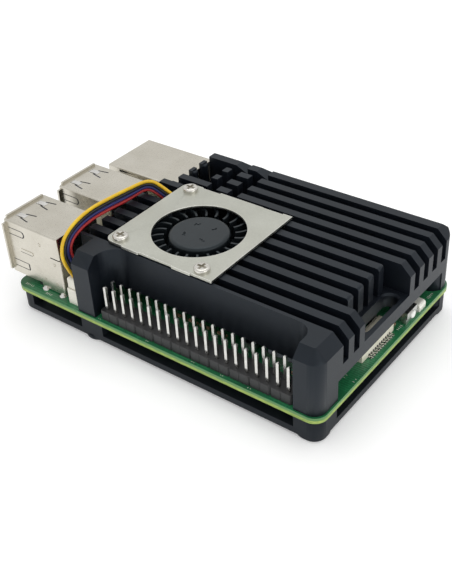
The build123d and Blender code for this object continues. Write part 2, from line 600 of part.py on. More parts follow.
# Points of the outermost wire, and the way each next wire steps in from it there.
ARCH_Z = LEAD_Z + 4.05
LEAD_ROUTE = (
    ((FAN_X1 - 0.2, LEAD_Y, LEAD_Z), (0, 0, -1.11)),
    ((FAN_X1 + 2.8, LEAD_Y + 0.3, LEAD_Z + 1.65), (0.5, 0.1, -0.86)),
    ((FAN_X1 + 6.2, LEAD_Y + 1.8, ARCH_Z + 0.1), (0.4, 0, -0.92)),
    ((PLUG_X + 1.5, PLUG_Y - 20.4, ARCH_Z), (0, 0, -1)),
    ((PLUG_X + 2.2, PLUG_Y - 14.0, ARCH_Z + 0.2), (0, 0, -1)),
    ((PLUG_X + 2.4, PLUG_Y - 7.8, ARCH_Z + 0.4), (0, 0, -1)),
    ((PLUG_X + 1.8, PLUG_Y - 1.6, ARCH_Z - 0.3), (0, -0.35, -0.94)),
    ((PLUG_X + 1.3, PLUG_Y + 2.6, ARCH_Z - 2.7), (0, -0.9, -0.61)),
    ((PLUG_X + 0.9, PLUG_Y + 3.4, PLUG_TOP + 4.0), (0, -1.04, 0.1)),
    ((PLUG_X, PLUG_Y + 1.5, PLUG_TOP - 0.3), (0, -LEAD_PITCH / WIRE_STEP, 0)),
)


def lead_route(k):
    """Route of wire k: wire 0 is outermost on the arch and the others nest inside it."""
    return [Vector(*point) + Vector(*inward) * (WIRE_STEP * k) for point, inward in LEAD_ROUTE]


def lead_tube(points, diameter):
    """Straight runs joined by tangent arcs, each as large as its two runs allow."""
    radii = []
    for a, b, c in zip(points, points[1:], points[2:]):
        turn = (b - a).get_angle(c - b)
        shorter = min((b - a).length, (c - b).length)
        radii.append(0.45 * shorter / math.tan(math.radians(turn) / 2))
    path = FilletPolyline(*points, radius=radii)
    section = Plane(origin=points[0], z_dir=points[1] - points[0]) * Circle(diameter / 2)
    solid = sweep(section, path=path)
    length = sum(e.length for e in path.edges())
    return solid, radii, length


WIRE_NAMES = ("yellow", "black", "blue", "red")
for k, name in enumerate(WIRE_NAMES):
    wire, radii, length = lead_tube(lead_route(k), WIRE_D)
    ideal = math.pi * (WIRE_D / 2) ** 2 * length
    found = round(wire.volume, 3)
    print("fan_wire_" + name, "length", round(length, 2), "volume", found, "ideal", round(ideal, 3))
    print("   radii", [round(r, 2) for r in radii])
    save("fan_wire_" + name, wire)

HDR_L = LEAD_PITCH * (LEAD_COUNT - 1) + 3.0
header = block(PLUG_X - 1.5, PLUG_X + 1.5, PLUG_Y - HDR_L / 2, PLUG_Y + HDR_L / 2, 0, HEADER_TOP)
hdr_y0 = PLUG_Y - HDR_L / 2
hdr_y1 = PLUG_Y + HDR_L / 2
header = header - block(PLUG_X - 1.0, PLUG_X + 1.0, hdr_y0 + 0.5, hdr_y1 - 0.5, 0.8, HEADER_TOP + 1)
header = header - block(PLUG_X + 0.5, PLUG_X + 2, hdr_y0 + 1.2, hdr_y1 - 1.2, 2.2, HEADER_TOP + 1)
header_pins = []
for k in range(LEAD_COUNT):
    y = PLUG_Y + 1.5 - LEAD_PITCH * k
    pin = block(PLUG_X - 0.15, PLUG_X + 0.15, y - 0.15, y + 0.15, 0.1, 2.6)
    gap = 0.15 + FIT
    header = header - block(PLUG_X - gap, PLUG_X + gap, y - gap, y + gap, 0.1, 3.0)
    header_pins.append(pin)
save("fan_header", header)

plug = block(PLUG_X - 0.95, PLUG_X + 0.95, hdr_y0 + 0.55, hdr_y1 - 0.55, 2.8, HEADER_TOP + 0.1)
plug = plug + block(PLUG_X - 1.35, PLUG_X + 1.35, hdr_y0 + 0.3, hdr_y1 - 0.3, HEADER_TOP + 0.1, PLUG_TOP)
top_edges = plug.edges().group_by(Axis.Z)[-1]
plug = chamfer(top_edges, 0.3)
for k in range(LEAD_COUNT + 1):
    y = PLUG_Y + 2.0 - LEAD_PITCH * k
    plug = plug - block(PLUG_X + 1.1, PLUG_X + 2, y - 0.12, y + 0.12, HEADER_TOP + 0.5, PLUG_TOP - 0.6)
save("fan_plug", plug)

# ================================================================ pin headers
pin_block = block(
    PIN_MID_X - PIN_COLUMNS / 2 * PIN_PITCH,
    PIN_MID_X + PIN_COLUMNS / 2 * PIN_PITCH,
    PIN_ROW_Y - PIN_PITCH,
    PIN_ROW_Y + PIN_PITCH,
    0,
    PIN_BLOCK_H,
)
notches = []
NOTCH = 0.45
for k in range(PIN_COLUMNS + 1):
    x = PIN_MID_X + (k - PIN_COLUMNS / 2) * PIN_PITCH
    for y in (PIN_ROW_Y - PIN_PITCH, PIN_ROW_Y + PIN_PITCH):
        deep = NOTCH if k % 2 == 0 else NOTCH * 0.5
        notches.append(Pos(x, y, PIN_BLOCK_H / 2) * Rot(0, 0, 45) * Box(deep, deep, PIN_BLOCK_H + 1))
holes = []
for x, y in PIN_XY:
    half = PIN_SIDE / 2 + FIT
    holes.append(block(x - half, x + half, y - half, y + half, -1, PIN_BLOCK_H + 1))
save("gpio_header_block", pin_block - notches - holes)


def square_pin(x, y, z0, z1):
    """Square post with a pointed tip at both ends."""
    half = PIN_SIDE / 2
    pin = block(x - half, x + half, y - half, y + half, z0, z1)
    tips = pin.edges().group_by(Axis.Z)[-1] + pin.edges().group_by(Axis.Z)[0]
    return chamfer(tips, 0.2)


poe_block = block(POE_X - PIN_PITCH, POE_X + PIN_PITCH, POE_Y - PIN_PITCH, POE_Y + PIN_PITCH, 0, PIN_BLOCK_H)
for x, y in POE_XY:
    half = PIN_SIDE / 2 + FIT
    poe_block = poe_block - block(x - half, x + half, y - half, y + half, -1, PIN_BLOCK_H + 1)
save("poe_header_block", poe_block)
save("header_pins", *[square_pin(x, y, UNDER - 1.6, PIN_TOP) for x, y in PIN_XY + POE_XY])


# ================================================================ USB stacks
USB_TOP_TABS = (-3.2, 3.2)


def tab_ring(x_tip, x_root, z, half, r, y_lo, y_hi):
    """Slit that frees a spring tongue in a side sheet: rounded at x_tip, open towards the mouth."""
    def plate(x0, x1, h, corner):
        face = Pos((x0 + x1) / 2, 0, z) * Plane.XZ * RectangleRounded(x1 - x0, 2 * h, corner)
        return extrude(Pos(0, y_hi, 0) * face, amount=y_hi - y_lo, dir=(0, -1, 0))

    ring = plate(x_tip, x_root + 2, half, r)
    ring = ring - plate(x_tip + TAB_SLIT, x_root + 1, half - TAB_SLIT, max(r - TAB_SLIT, 0.1))
    return ring & block(x_tip - 1, x_root, y_lo - 1, y_hi + 1, z - half - 1, z + half + 1)


def spring_tab_top(y):
    """Two slits beside a tongue in the top sheet, and the window where its tip dips inwards."""
    tip = USB_FACE - 1.2
    shapes = []
    for side in (-1, 1):
        ends = [(tip - 2.0, y + side * 0.75), (tip - 4.6, y + side * 1.25)]
        ends += [(tip - 4.6, y + side * 1.65), (tip - 2.0, y + side * 1.15)]
        shapes.append(polygon(ends, USB_H - 2 * SHEET_T, USB_H + 1))
    dip = [(tip - 2.4, USB_H), (tip, USB_H - 0.26), (tip, USB_H + 1), (tip - 2.4, USB_H + 1)]
    shapes.append(prism_y(dip, y - 0.8, y + 0.8))
    shapes.append(block(tip - 0.15, tip, y - 0.8, y + 0.8, USB_H - 2 * SHEET_T, USB_H + 1))
    return shapes


def usb_shell(mid):
    """Folded sheet shell with flared mouth, spring tongues cut in it and legs through the board."""
    y0 = mid - USB_W / 2
    y1 = mid + USB_W / 2
    body = block(USB_REAR, USB_FACE, y0, y1, 0.3, USB_H)
    folds = body.edges().filter_by(Axis.X).group_by(Axis.Z)[-1]
    folds = folds + body.edges().filter_by(Axis.Z).group_by(Axis.X)[0]
    body = fillet(folds, USB_BEND_R)
    body = body - block(USB_REAR + SHEET_T, USB_FACE + 1, y0 + SHEET_T, y1 - SHEET_T, -1, USB_H - SHEET_T)
    body = body - block(USB_REAR + 7.4, USB_FACE + 1, y0 - 1, y1 + 1, -1, 1.4)
    flare = 0.35
    lip_z0 = 1.4
    back = USB_FACE - flare
    front = USB_FACE + USB_LIP
    lips = block(back, front, y0 - USB_FLANGE, y0 + SHEET_T, lip_z0 + 0.8, USB_H - 1.0)
    lips = lips + block(back, front, y1 - SHEET_T, y1 + USB_FLANGE, lip_z0 + 0.8, USB_H - 1.0)
    lips = lips + block(back, front, y0 + 0.8, y1 - 0.8, USB_H - SHEET_T, USB_H + 0.5)
    body = body + lips
    # Sheet between the two mouths.
    bar_z0 = USB_PORT_Z[0] + USB_PORT_H / 2
    bar_z1 = USB_PORT_Z[1] - USB_PORT_H / 2
    body = body + block(USB_FACE - SHEET_T, USB_FACE, y0 + 0.1, y1 - 0.1, bar_z0, bar_z1)
    body = body + block(USB_FACE - 8.0, USB_FACE, y0 + 0.1, y1 - 0.1, bar_z0, bar_z0 + SHEET_T)
    body = body + block(USB_FACE - 8.0, USB_FACE, y0 + 0.1, y1 - 0.1, bar_z1 - SHEET_T, bar_z1)
    body = body + block(USB_FACE - 8.0, USB_FACE, y0 + 0.1, y1 - 0.1, 1.15, 1.45)
    for x in USB_LEG_X:
        for y in (y0, y1 - SHEET_T):
            body = body + block(x - LEG_L / 2, x + LEG_L / 2, y, y + SHEET_T, UNDER - 0.9, 0.6)
    cuts = []
    for offset in USB_TOP_TABS:
        cuts += spring_tab_top(mid + offset)
    for y, way in ((y0, -1), (y1, 1)):
        lo = min(y - way * 1.4 * SHEET_T, y + way)
        hi = max(y - way * 1.4 * SHEET_T, y + way)
        cuts.append(tab_ring(USB_FACE - 6.2, USB_FACE - 0.9, USB_PORT_Z[1] + 1.1, 0.95, 0.93, lo, hi))
        cuts.append(tab_ring(USB_FACE - 6.2, USB_FACE - 0.9, USB_PORT_Z[0] + 0.2, 1.0, 0.35, lo, hi))
        # Seam slit and punch marks near the rear.
        cuts.append(block(USB_REAR - 1, USB_REAR + 3.0, lo, hi, 9.65, 9.95))
        face = y - way * 0.12
        lo = min(face, y + way)
        hi = max(face, y + way)
        for x, z in ((76.5, 12.2), (76.5, 2.7), (72.7, 2.6), (72.5, 8.1)):
            x = x + USB_REAR - 70.5
            punch = block(x - 0.35, x + 0.35, lo, hi, z - 0.4, z + 0.4)
            cuts.append(punch - block(x - 0.2, x + 1, y - 3, y + 3, z - 0.2, z + 0.2))
    body = body - cuts
    for y, way in ((y0, -1), (y1, 1)):
        rib = block(USB_FACE - 8.2, USB_FACE - 3.9, y - 0.12, y + 0.12, 8.0, 8.9)
        body = body + fillet(rib.edges().filter_by(Axis.Y), 0.4)
    return body


def usb_insulator(mid):
    """Moulded rear block with a tongue in each mouth."""
    y0 = mid - USB_W / 2 + SHEET_T + 0.1
    y1 = mid + USB_W / 2 - SHEET_T - 0.1
    x1 = USB_FACE - 8.1
    body = block(USB_REAR + SHEET_T + 0.1, x1, y0, y1, 0, USB_H - SHEET_T - 0.1)
    for z in USB_PORT_Z:
        half = 5.6
        body = body + block(x1 - 0.5, USB_FACE - 0.9, mid - half, mid + half, z + 0.15, z + 1.95)
    return body


def usb_contacts(mid, count):
    """Spring contacts lying on the underside of both tongues."""
    strips = []
    for z in USB_PORT_Z:
        for k in range(count):
            y = mid + (k - (count - 1) / 2) * 10.0 / count
            strips.append(block(USB_FACE - 7.6, USB_FACE - 1.6, y - 0.45, y + 0.45, z - 0.05, z + 0.15))
    return strips


save("usb2_shell", usb_shell(USB2_Y))
save("usb2_insulator", usb_insulator(USB2_Y))
save("usb3_shell", usb_shell(USB3_Y))
save("usb3_insulator", usb_insulator(USB3_Y))
save("usb_contacts", *usb_contacts(USB2_Y, 4), *usb_contacts(USB3_Y, 9))

# ================================================================ network jack
ly0 = LAN_Y - LAN_W / 2
ly1 = LAN_Y + LAN_W / 2
port_z0 = 2.0
port_z1 = port_z0 + LAN_PORT_H
shield = block(LAN_REAR, LAN_FACE, ly0, ly1, 0.3, LAN_H)
shield = shield - block(LAN_REAR + SHEET_T, LAN_FACE + 1, ly0 + SHEET_T, ly1 - SHEET_T, -1, LAN_H - SHEET_T)
for x in LAN_LEG_X:
    for y in (ly0, ly1 - SHEET_T):
        shield = shield + block(x - LEG_L / 2, x + LEG_L / 2, y, y + SHEET_T, UNDER - 0.9, 0.6)
lan_folds = shield.edges().filter_by(Axis.X).group_by(Axis.Z)[-1]
shield = fillet([e for e in lan_folds if abs(abs(e.center().Y - LAN_Y) - LAN_W / 2) < 0.01], 0.35)
tongues = []
for y, way in ((ly0, -1), (ly1, 1)):
    lo = min(y - way * 1.4 * SHEET_T, y + way)
    hi = max(y - way * 1.4 * SHEET_T, y + way)
    # Spring flap cut from the side, sprung away from the top edge towards the mouth.
    gap = [
        (LAN_FACE - 9.2, LAN_H - 0.55),
        (LAN_FACE - 3.6, LAN_H - 0.55),
        (LAN_FACE - 3.6, LAN_H - 1.15),
    ]
    tongues.append(prism_y(gap, lo, hi))
    for z in (5.4, 8.2):
        tongues.append(block(LAN_FACE - 6.5, LAN_FACE - 1.5, lo, hi, z - 0.12, z + 0.12))
save("lan_jack_shield", shield - tongues)

core_y0 = ly0 + SHEET_T + 0.1
core_y1 = ly1 - SHEET_T - 0.1
jack = block(LAN_REAR + SHEET_T + 0.1, LAN_FACE - 0.1, core_y0, core_y1, 0, LAN_H - SHEET_T - 0.1)
PORT_DEPTH = 14.0
jack = jack - block(LAN_FACE - PORT_DEPTH, LAN_FACE + 1, LAN_Y - 5.9, LAN_Y + 5.9, port_z0 + 1.6, port_z1)
jack = jack - block(LAN_FACE - PORT_DEPTH, LAN_FACE + 1, LAN_Y - 3.1, LAN_Y + 3.1, port_z0, port_z0 + 2)
jack = jack - block(LAN_FACE - 8.0, LAN_FACE + 1, LAN_Y - 1.6, LAN_Y + 1.6, port_z0 - 1.0, port_z0 + 0.5)
windows = []
for side in (-1, 1):
    y = LAN_Y + side * 6.3
    windows.append((y - 1.0, y + 1.0))
for y0, y1 in windows:
    jack = jack - block(LAN_FACE - 4.0, LAN_FACE + 1, y0 - FIT, y1 + FIT, 0.6 - FIT, 2.4 + FIT)
save("lan_jack_body", jack)
lights = [block(LAN_FACE - 4.0, LAN_FACE, y0, y1, 0.6, 2.4) for y0, y1 in windows]
save("lan_jack_lights", *lights)
springs = []
for k in range(8):
    y = LAN_Y + (k - 3.5) * 1.02
    slope = [
        (LAN_FACE - PORT_DEPTH + 0.1, port_z1 - 0.1),
        (LAN_FACE - 3.0, port_z1 - 0.1),
        (LAN_FACE - 3.0, port_z1 - 0.4),
        (LAN_FACE - PORT_DEPTH + 0.1, port_z1 - 2.7),
        (LAN_FACE - PORT_DEPTH + 0.1, port_z1 - 2.3),
        (LAN_FACE - 4.2, port_z1 - 0.4),
        (LAN_FACE - PORT_DEPTH + 0.1, port_z1 - 0.4),
    ]
    springs.append(prism_y(slope, y - 0.22, y + 0.22))
save("lan_jack_contacts", *springs)


# ================================================================ USB-C and display sockets
def stadium(x, w, z0, z1, y0, y1):
    """Upright-faced pill section run along Y."""
    h = z1 - z0
    body = block(x - w / 2 + h / 2, x + w / 2 - h / 2, y0, y1, z0, z1)
    for cx in (x - w / 2 + h / 2, x + w / 2 - h / 2):
        body = body + Pos(cx, (y0 + y1) / 2, (z0 + z1) / 2) * Rot(90, 0, 0) * Cylinder(h / 2, y1 - y0)
    return body


TYPEC_Y0 = -TYPEC_OVERHANG
TYPEC_Y1 = TYPEC_Y0 + 7.4
typec = stadium(TYPEC_X, TYPEC_W, 0, TYPEC_H, TYPEC_Y0, TYPEC_Y1)
typec = typec - stadium(TYPEC_X, TYPEC_W - 0.6, 0.3, TYPEC_H - 0.3, TYPEC_Y0 - 1, TYPEC_Y1 - 0.4)
save("usb_c_shell", typec)
mid_z = TYPEC_H / 2
tongue = block(TYPEC_X - 3.35, TYPEC_X + 3.35, TYPEC_Y0 + 1.0, TYPEC_Y1 - 1.6, mid_z - 0.35, mid_z + 0.35)
tongue = tongue + block(TYPEC_X - 3.2, TYPEC_X + 3.2, TYPEC_Y1 - 1.7, TYPEC_Y1 - 0.45, 0.5, TYPEC_H - 0.5)
save("usb_c_tongue", tongue)

HDMI_Y0 = -0.7
HDMI_Y1 = 6.8
video_shells = []
video_tongues = []
for x in HDMI_X:
    half = HDMI_W / 2
    outer = [(x - half, HDMI_H), (x + half, HDMI_H), (x + half, 1.1), (x + 2.4, 0), (x - 2.4, 0)]
    outer.append((x - HDMI_W / 2, 1.1))
    w = HDMI_W / 2 - 0.3
    inner = [(x - w, HDMI_H - 0.3), (x + w, HDMI_H - 0.3), (x + w, 1.25)]
    inner = inner + [(x + 2.25, 0.3), (x - 2.25, 0.3), (x - w, 1.25)]
    video_shells.append(prism_y(outer, HDMI_Y0, HDMI_Y1) - prism_y(inner, HDMI_Y0 - 1, HDMI_Y1 - 0.4))
    blade = block(x - 2.0, x + 2.0, HDMI_Y0 + 1.0, HDMI_Y1 - 1.4, 1.75, 2.35)
    video_tongues.append(blade + block(x - 2.2, x + 2.2, HDMI_Y1 - 1.5, HDMI_Y1 - 0.45, 0.5, HDMI_H - 0.5))
save("micro_hdmi_shells", *video_shells)
save("micro_hdmi_tongues", *video_tongues)

# Two small white sockets beside the display ports: serial console and clock battery.
small = []
small_pins = []
for x, count in ((32.5, 3), (18.6, 2)):
    w = LEAD_PITCH * (count - 1) + 3.0
    box = block(x - w / 2, x + w / 2, 0.6, 4.9, 0, 2.95)
    box = box - block(x - w / 2 + 0.5, x + w / 2 - 0.5, -1, 3.9, 0.5, 2.45)
    small.append(box)
    for k in range(count):
        px = x + (k - (count - 1) / 2) * LEAD_PITCH
        small_pins.append(block(px - 0.12, px + 0.12, 1.6, 3.9, 1.2, 1.45))
save("small_sockets", *small)
save("small_socket_pins", *small_pins, *header_pins)

# ================================================================ ribbon sockets
ffc_y0 = FFC_Y - FFC_L / 2
LATCH_X = FFC_X + FFC_D - 1.15
ffc_y1 = FFC_Y + FFC_L / 2
ffc = block(FFC_X, FFC_X + FFC_D, ffc_y0, ffc_y1, 0, FFC_H)
ffc = ffc - block(FFC_X + 1.0, FFC_X + 1.5, ffc_y0 + 1.2, ffc_y1 - 1.2, 0.7, FFC_H + 1)
ffc = ffc - block(LATCH_X - 0.3, LATCH_X + 0.3, ffc_y0 + 0.5, ffc_y1 - 0.5, 0.9, FFC_H + 1)
save("pcie_socket", ffc)
latch = block(LATCH_X - 0.6, LATCH_X + 0.5, ffc_y0 + 0.2, ffc_y1 - 0.2, FFC_H + 0.05, FFC_H + 0.8)
latch = chamfer(latch.edges().group_by(Axis.Z)[-1], 0.15)
latch = latch + block(LATCH_X - 0.2, LATCH_X + 0.2, ffc_y0 + 0.7, ffc_y1 - 0.7, 1.0, FFC_H + 0.2)
save("pcie_latch", latch)
tails = []
for k in range(FFC_PINS):
    y = FFC_Y - 0.5 + (k - (FFC_PINS - 1) / 2) * FFC_PITCH
    tails.append(block(FFC_X - 0.95, FFC_X, y - 0.11, y + 0.11, 0, 0.18))

camera_y0 = SLOT_Y0 + 0.3
camera_y1 = camera_y0 + CAMERA_L
CAMERA_PINS = 22
camera_tails = []
camera_bodies = []
for index, x in enumerate(CAMERA_X):
    body = block(x - CAMERA_W / 2, x + CAMERA_W / 2, camera_y0, camera_y1, 0, CAMERA_H)
    body = body - block(x - 0.2, x + 0.3, camera_y0 + 1.0, camera_y1 - 1.0, 1.2, CAMERA_H + 1)
    body = body - block(x + 0.5, x + 1.0, camera_y0 + 0.6, camera_y1 - 0.6, 2.2, CAMERA_H + 1)
    camera_bodies.append(body)
    bar = block(x + 0.3, x + 1.25, camera_y0 + 0.2, camera_y1 - 0.2, CAMERA_H + 0.05, CAMERA_H + 0.75)
    bar = bar + block(x + 0.55, x + 0.95, camera_y0 + 0.8, camera_y1 - 0.8, 2.4, CAMERA_H + 0.2)
    save("camera_latch_" + "ab"[index], bar)
    for k in range(CAMERA_PINS):
        y = (camera_y0 + camera_y1) / 2 + (k - (CAMERA_PINS - 1) / 2) * FFC_PITCH
        camera_tails.append(block(x - CAMERA_W / 2 - 0.7, x - CAMERA_W / 2, y - 0.11, y + 0.11, 0, 0.18))
save("camera_sockets", *camera_bodies)
save("ribbon_contacts", *tails, *camera_tails)

# ================================================================ power button and light
BUTTON_Z = 1.45
frame = block(0.75, 3.2, BUTTON_Y - 2.2, BUTTON_Y + 2.2, 0, 2.7)
frame = frame - block(1.25, 2.7, BUTTON_Y - 1.9, BUTTON_Y + 1.9, 0.3, 2.4)
frame = frame - Pos(1.0, BUTTON_Y, BUTTON_Z) * Rot(0, 90, 0) * Cylinder(0.95, 2.0)
frame = frame + block(0.75, 1.25, BUTTON_Y + 2.2, BUTTON_Y + 2.7, 0, 1.2)
frame = frame + block(0.75, 1.25, BUTTON_Y - 2.7, BUTTON_Y - 2.2, 0, 1.2)
save("power_button_frame", frame)
plunger = Pos(0.95, BUTTON_Y, BUTTON_Z) * Rot(0, 90, 0) * Cylinder(0.9, 1.3)
plunger = fillet(plunger.edges().group_by(Axis.X)[0], 0.25)
plunger = plunger + block(1.55, 1.95, BUTTON_Y - 1.2, BUTTON_Y + 1.2, BUTTON_Z - 1.0, BUTTON_Z + 0.9)
save("power_button_plunger", plunger)
lamp = block(0.5, 2.6, LED_Y - 1.4, LED_Y + 1.4, 0, 1.7)
lamp = fillet(lamp.edges().filter_by(Axis.Y).group_by(Axis.X)[0].sort_by(Axis.Z)[-1], 0.7)
save("status_light", lamp)

# ================================================================ chips and small components
SOC_X, SOC_Y = CHIPS["soc"][:2]
save("soc_substrate", block(SOC_X - 10.0, SOC_X + 10.0, SOC_Y - 10.0, SOC_Y + 10.0, 0, 1.0))
lid = block(SOC_X - 9.0, SOC_X + 9.0, SOC_Y - 9.0, SOC_Y + 9.0, 1.0, CHIPS["soc"][4])
lid = fillet(lid.edges().filter_by(Axis.Z), 1.0)
save("soc_lid", lid)


def chip(name, extra):
    """Plain package, slightly larger than its pad."""
    x, y, l, w, h = CHIPS[name]
    body = block(x - l / 2 - extra, x + l / 2 + extra, y - w / 2 - extra, y + w / 2 + extra, 0, h)
    return chamfer(body.edges().filter_by(Axis.Z).group_by(Axis.X)[0].sort_by(Axis.Y)[0], 0.6)


save("ram_chip", chip("ram", 0.2))
save("io_controller_chip", chip("io", 0.2))
save("power_manager_chip", chip("pmic", 0.2))
save("radio_can", chip("radio", 0.3))
phy = block(58.4, 63.4, 19.0, 23.8, 0, 0.9)
save("network_phy_chip", chamfer(phy.edges().filter_by(Axis.Z).group_by(Axis.X)[0].sort_by(Axis.Y)[0], 0.5))

inductors = []
COILS = (
    (8.2, 23.0, 2.6),
    (27.0, 12.2, 3.0),
    (31.6, 12.2, 3.0),
    (36.2, 12.2, 3.0),
    (27.0, 16.6, 2.6),
    (8.8, 12.0, 3.0),
)
for x, y, s in COILS:
    coil_body = block(x - s / 2, x + s / 2, y - s / 2, y + s / 2, 0, 1.8)
    inductors.append(fillet(coil_body.edges().filter_by(Axis.Z), 0.4))
save("inductors", *inductors)

crystals = []
for x, y in ((43.4, 20.6), (51.6, 20.9), (24.4, 43.6)):
    crystals.append(block(x - 1.6, x + 1.6, y - 1.25, y + 1.25, 0, 0.8))
save("crystals", *crystals)

chip_caps = []
CAP_ROWS = (
    (9, 31.0, 1.6, 44.8),
    (8, 30.0, 1.6, 18.6),
    (6, 44.4, 1.7, 41.4),
    (7, 58.0, 1.7, 39.6),
    (5, 12.8, 1.7, 20.4),
    (4, 13.0, 1.7, 34.6),
    (4, 7.2, 1.6, 47.0),
    (4, 8.6, 1.7, 18.2),
)
for count, x0, step, y in CAP_ROWS:
    for k in range(count):
        x = x0 + step * k
        chip_caps.append(block(x - 0.5, x + 0.5, y - 0.25, y + 0.25, 0, 0.5))
for k in range(4):
    y = 5.9 + 1.3 * k
    chip_caps.append(block(4.9, 5.4, y + 1.4, y + 2.4, 0, 0.5))

# ================================================================ under the board
card_y0 = FFC_Y - 1.8 - CARD_W / 2
cage = block(1.2, 1.2 + CARD_L, card_y0, card_y0 + CARD_W, UNDER - CARD_H, UNDER)
mouth_y1 = card_y0 + CARD_W - 1.0
cage = cage - block(0, 0.9 + CARD_L, card_y0 + 1.0, mouth_y1, UNDER - CARD_H + 0.25, UNDER - 0.3)
save("card_slot_cage", cage)
under_caps = []
for i in range(6):
    for j in range(5):
        x = SOC_X - 7.5 + 3.0 * i
        y = SOC_Y - 6.0 + 3.0 * j
        under_caps.append(block(x - 0.5, x + 0.5, y - 0.25, y + 0.25, UNDER - 0.5, UNDER))
save("chip_capacitors", *chip_caps, *under_caps)
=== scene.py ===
import json
import math
import random

import bpy
import bmesh
from mathutils import Matrix, Vector


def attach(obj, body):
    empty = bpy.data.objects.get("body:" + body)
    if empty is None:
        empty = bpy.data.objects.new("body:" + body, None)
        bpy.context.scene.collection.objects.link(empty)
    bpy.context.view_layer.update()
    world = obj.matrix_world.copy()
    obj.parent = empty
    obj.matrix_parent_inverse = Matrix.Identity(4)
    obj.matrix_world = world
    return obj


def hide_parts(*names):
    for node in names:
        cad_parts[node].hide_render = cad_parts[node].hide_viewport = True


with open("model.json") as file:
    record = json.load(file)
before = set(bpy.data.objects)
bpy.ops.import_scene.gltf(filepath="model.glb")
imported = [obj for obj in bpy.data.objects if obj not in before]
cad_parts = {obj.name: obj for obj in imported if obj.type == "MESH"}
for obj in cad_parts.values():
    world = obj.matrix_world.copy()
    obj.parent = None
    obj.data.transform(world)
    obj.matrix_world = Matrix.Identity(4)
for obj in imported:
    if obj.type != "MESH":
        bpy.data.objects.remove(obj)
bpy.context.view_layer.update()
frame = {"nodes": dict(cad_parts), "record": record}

random.seed(7)

# Places are given in mm on the board's datum, the same as in the CAD source: X from the card end,
# Y towards the pin header, Z up from the board's top face.
MM = 0.001
DATUM = Vector((43.85, 27.4, -7.0))
BOARD_TOP = 0.0


def at(x, y, z):
    """Board point in mm to the part frame in metres."""
    return (Vector((x, y, z)) - DATUM) * MM


def show(name, data):
    """New object for that data, linked to the scene."""
    obj = bpy.data.objects.new(name, data)
    bpy.context.scene.collection.objects.link(obj)
    return obj


# ---------------------------------------------------------------- materials
# Noise values lie mostly between these; the narrower the pair, the harder the patches it makes.
NOISE_RANGE = (0.3, 0.7)
ROUGH_RANGE = (0.25, 0.75)
# Noise span over which the lighter edges, partly wear and partly painted highlight, go from
# faintest to full.
WEAR_AND_HIGHLIGHT_RANGE = (0.35, 0.65)
# Share of the edge lightening, partly wear and partly painted highlight, that is left on the
# faintest stretches of edge.
LEAST_WEAR_AND_HIGHLIGHT = 0.5
# How far the rounded normal's cosine falls from 1 where the lighter edge, partly wear and partly
# painted highlight, starts, and where it is full.
EDGE_TURN = (0.02, 0.25)


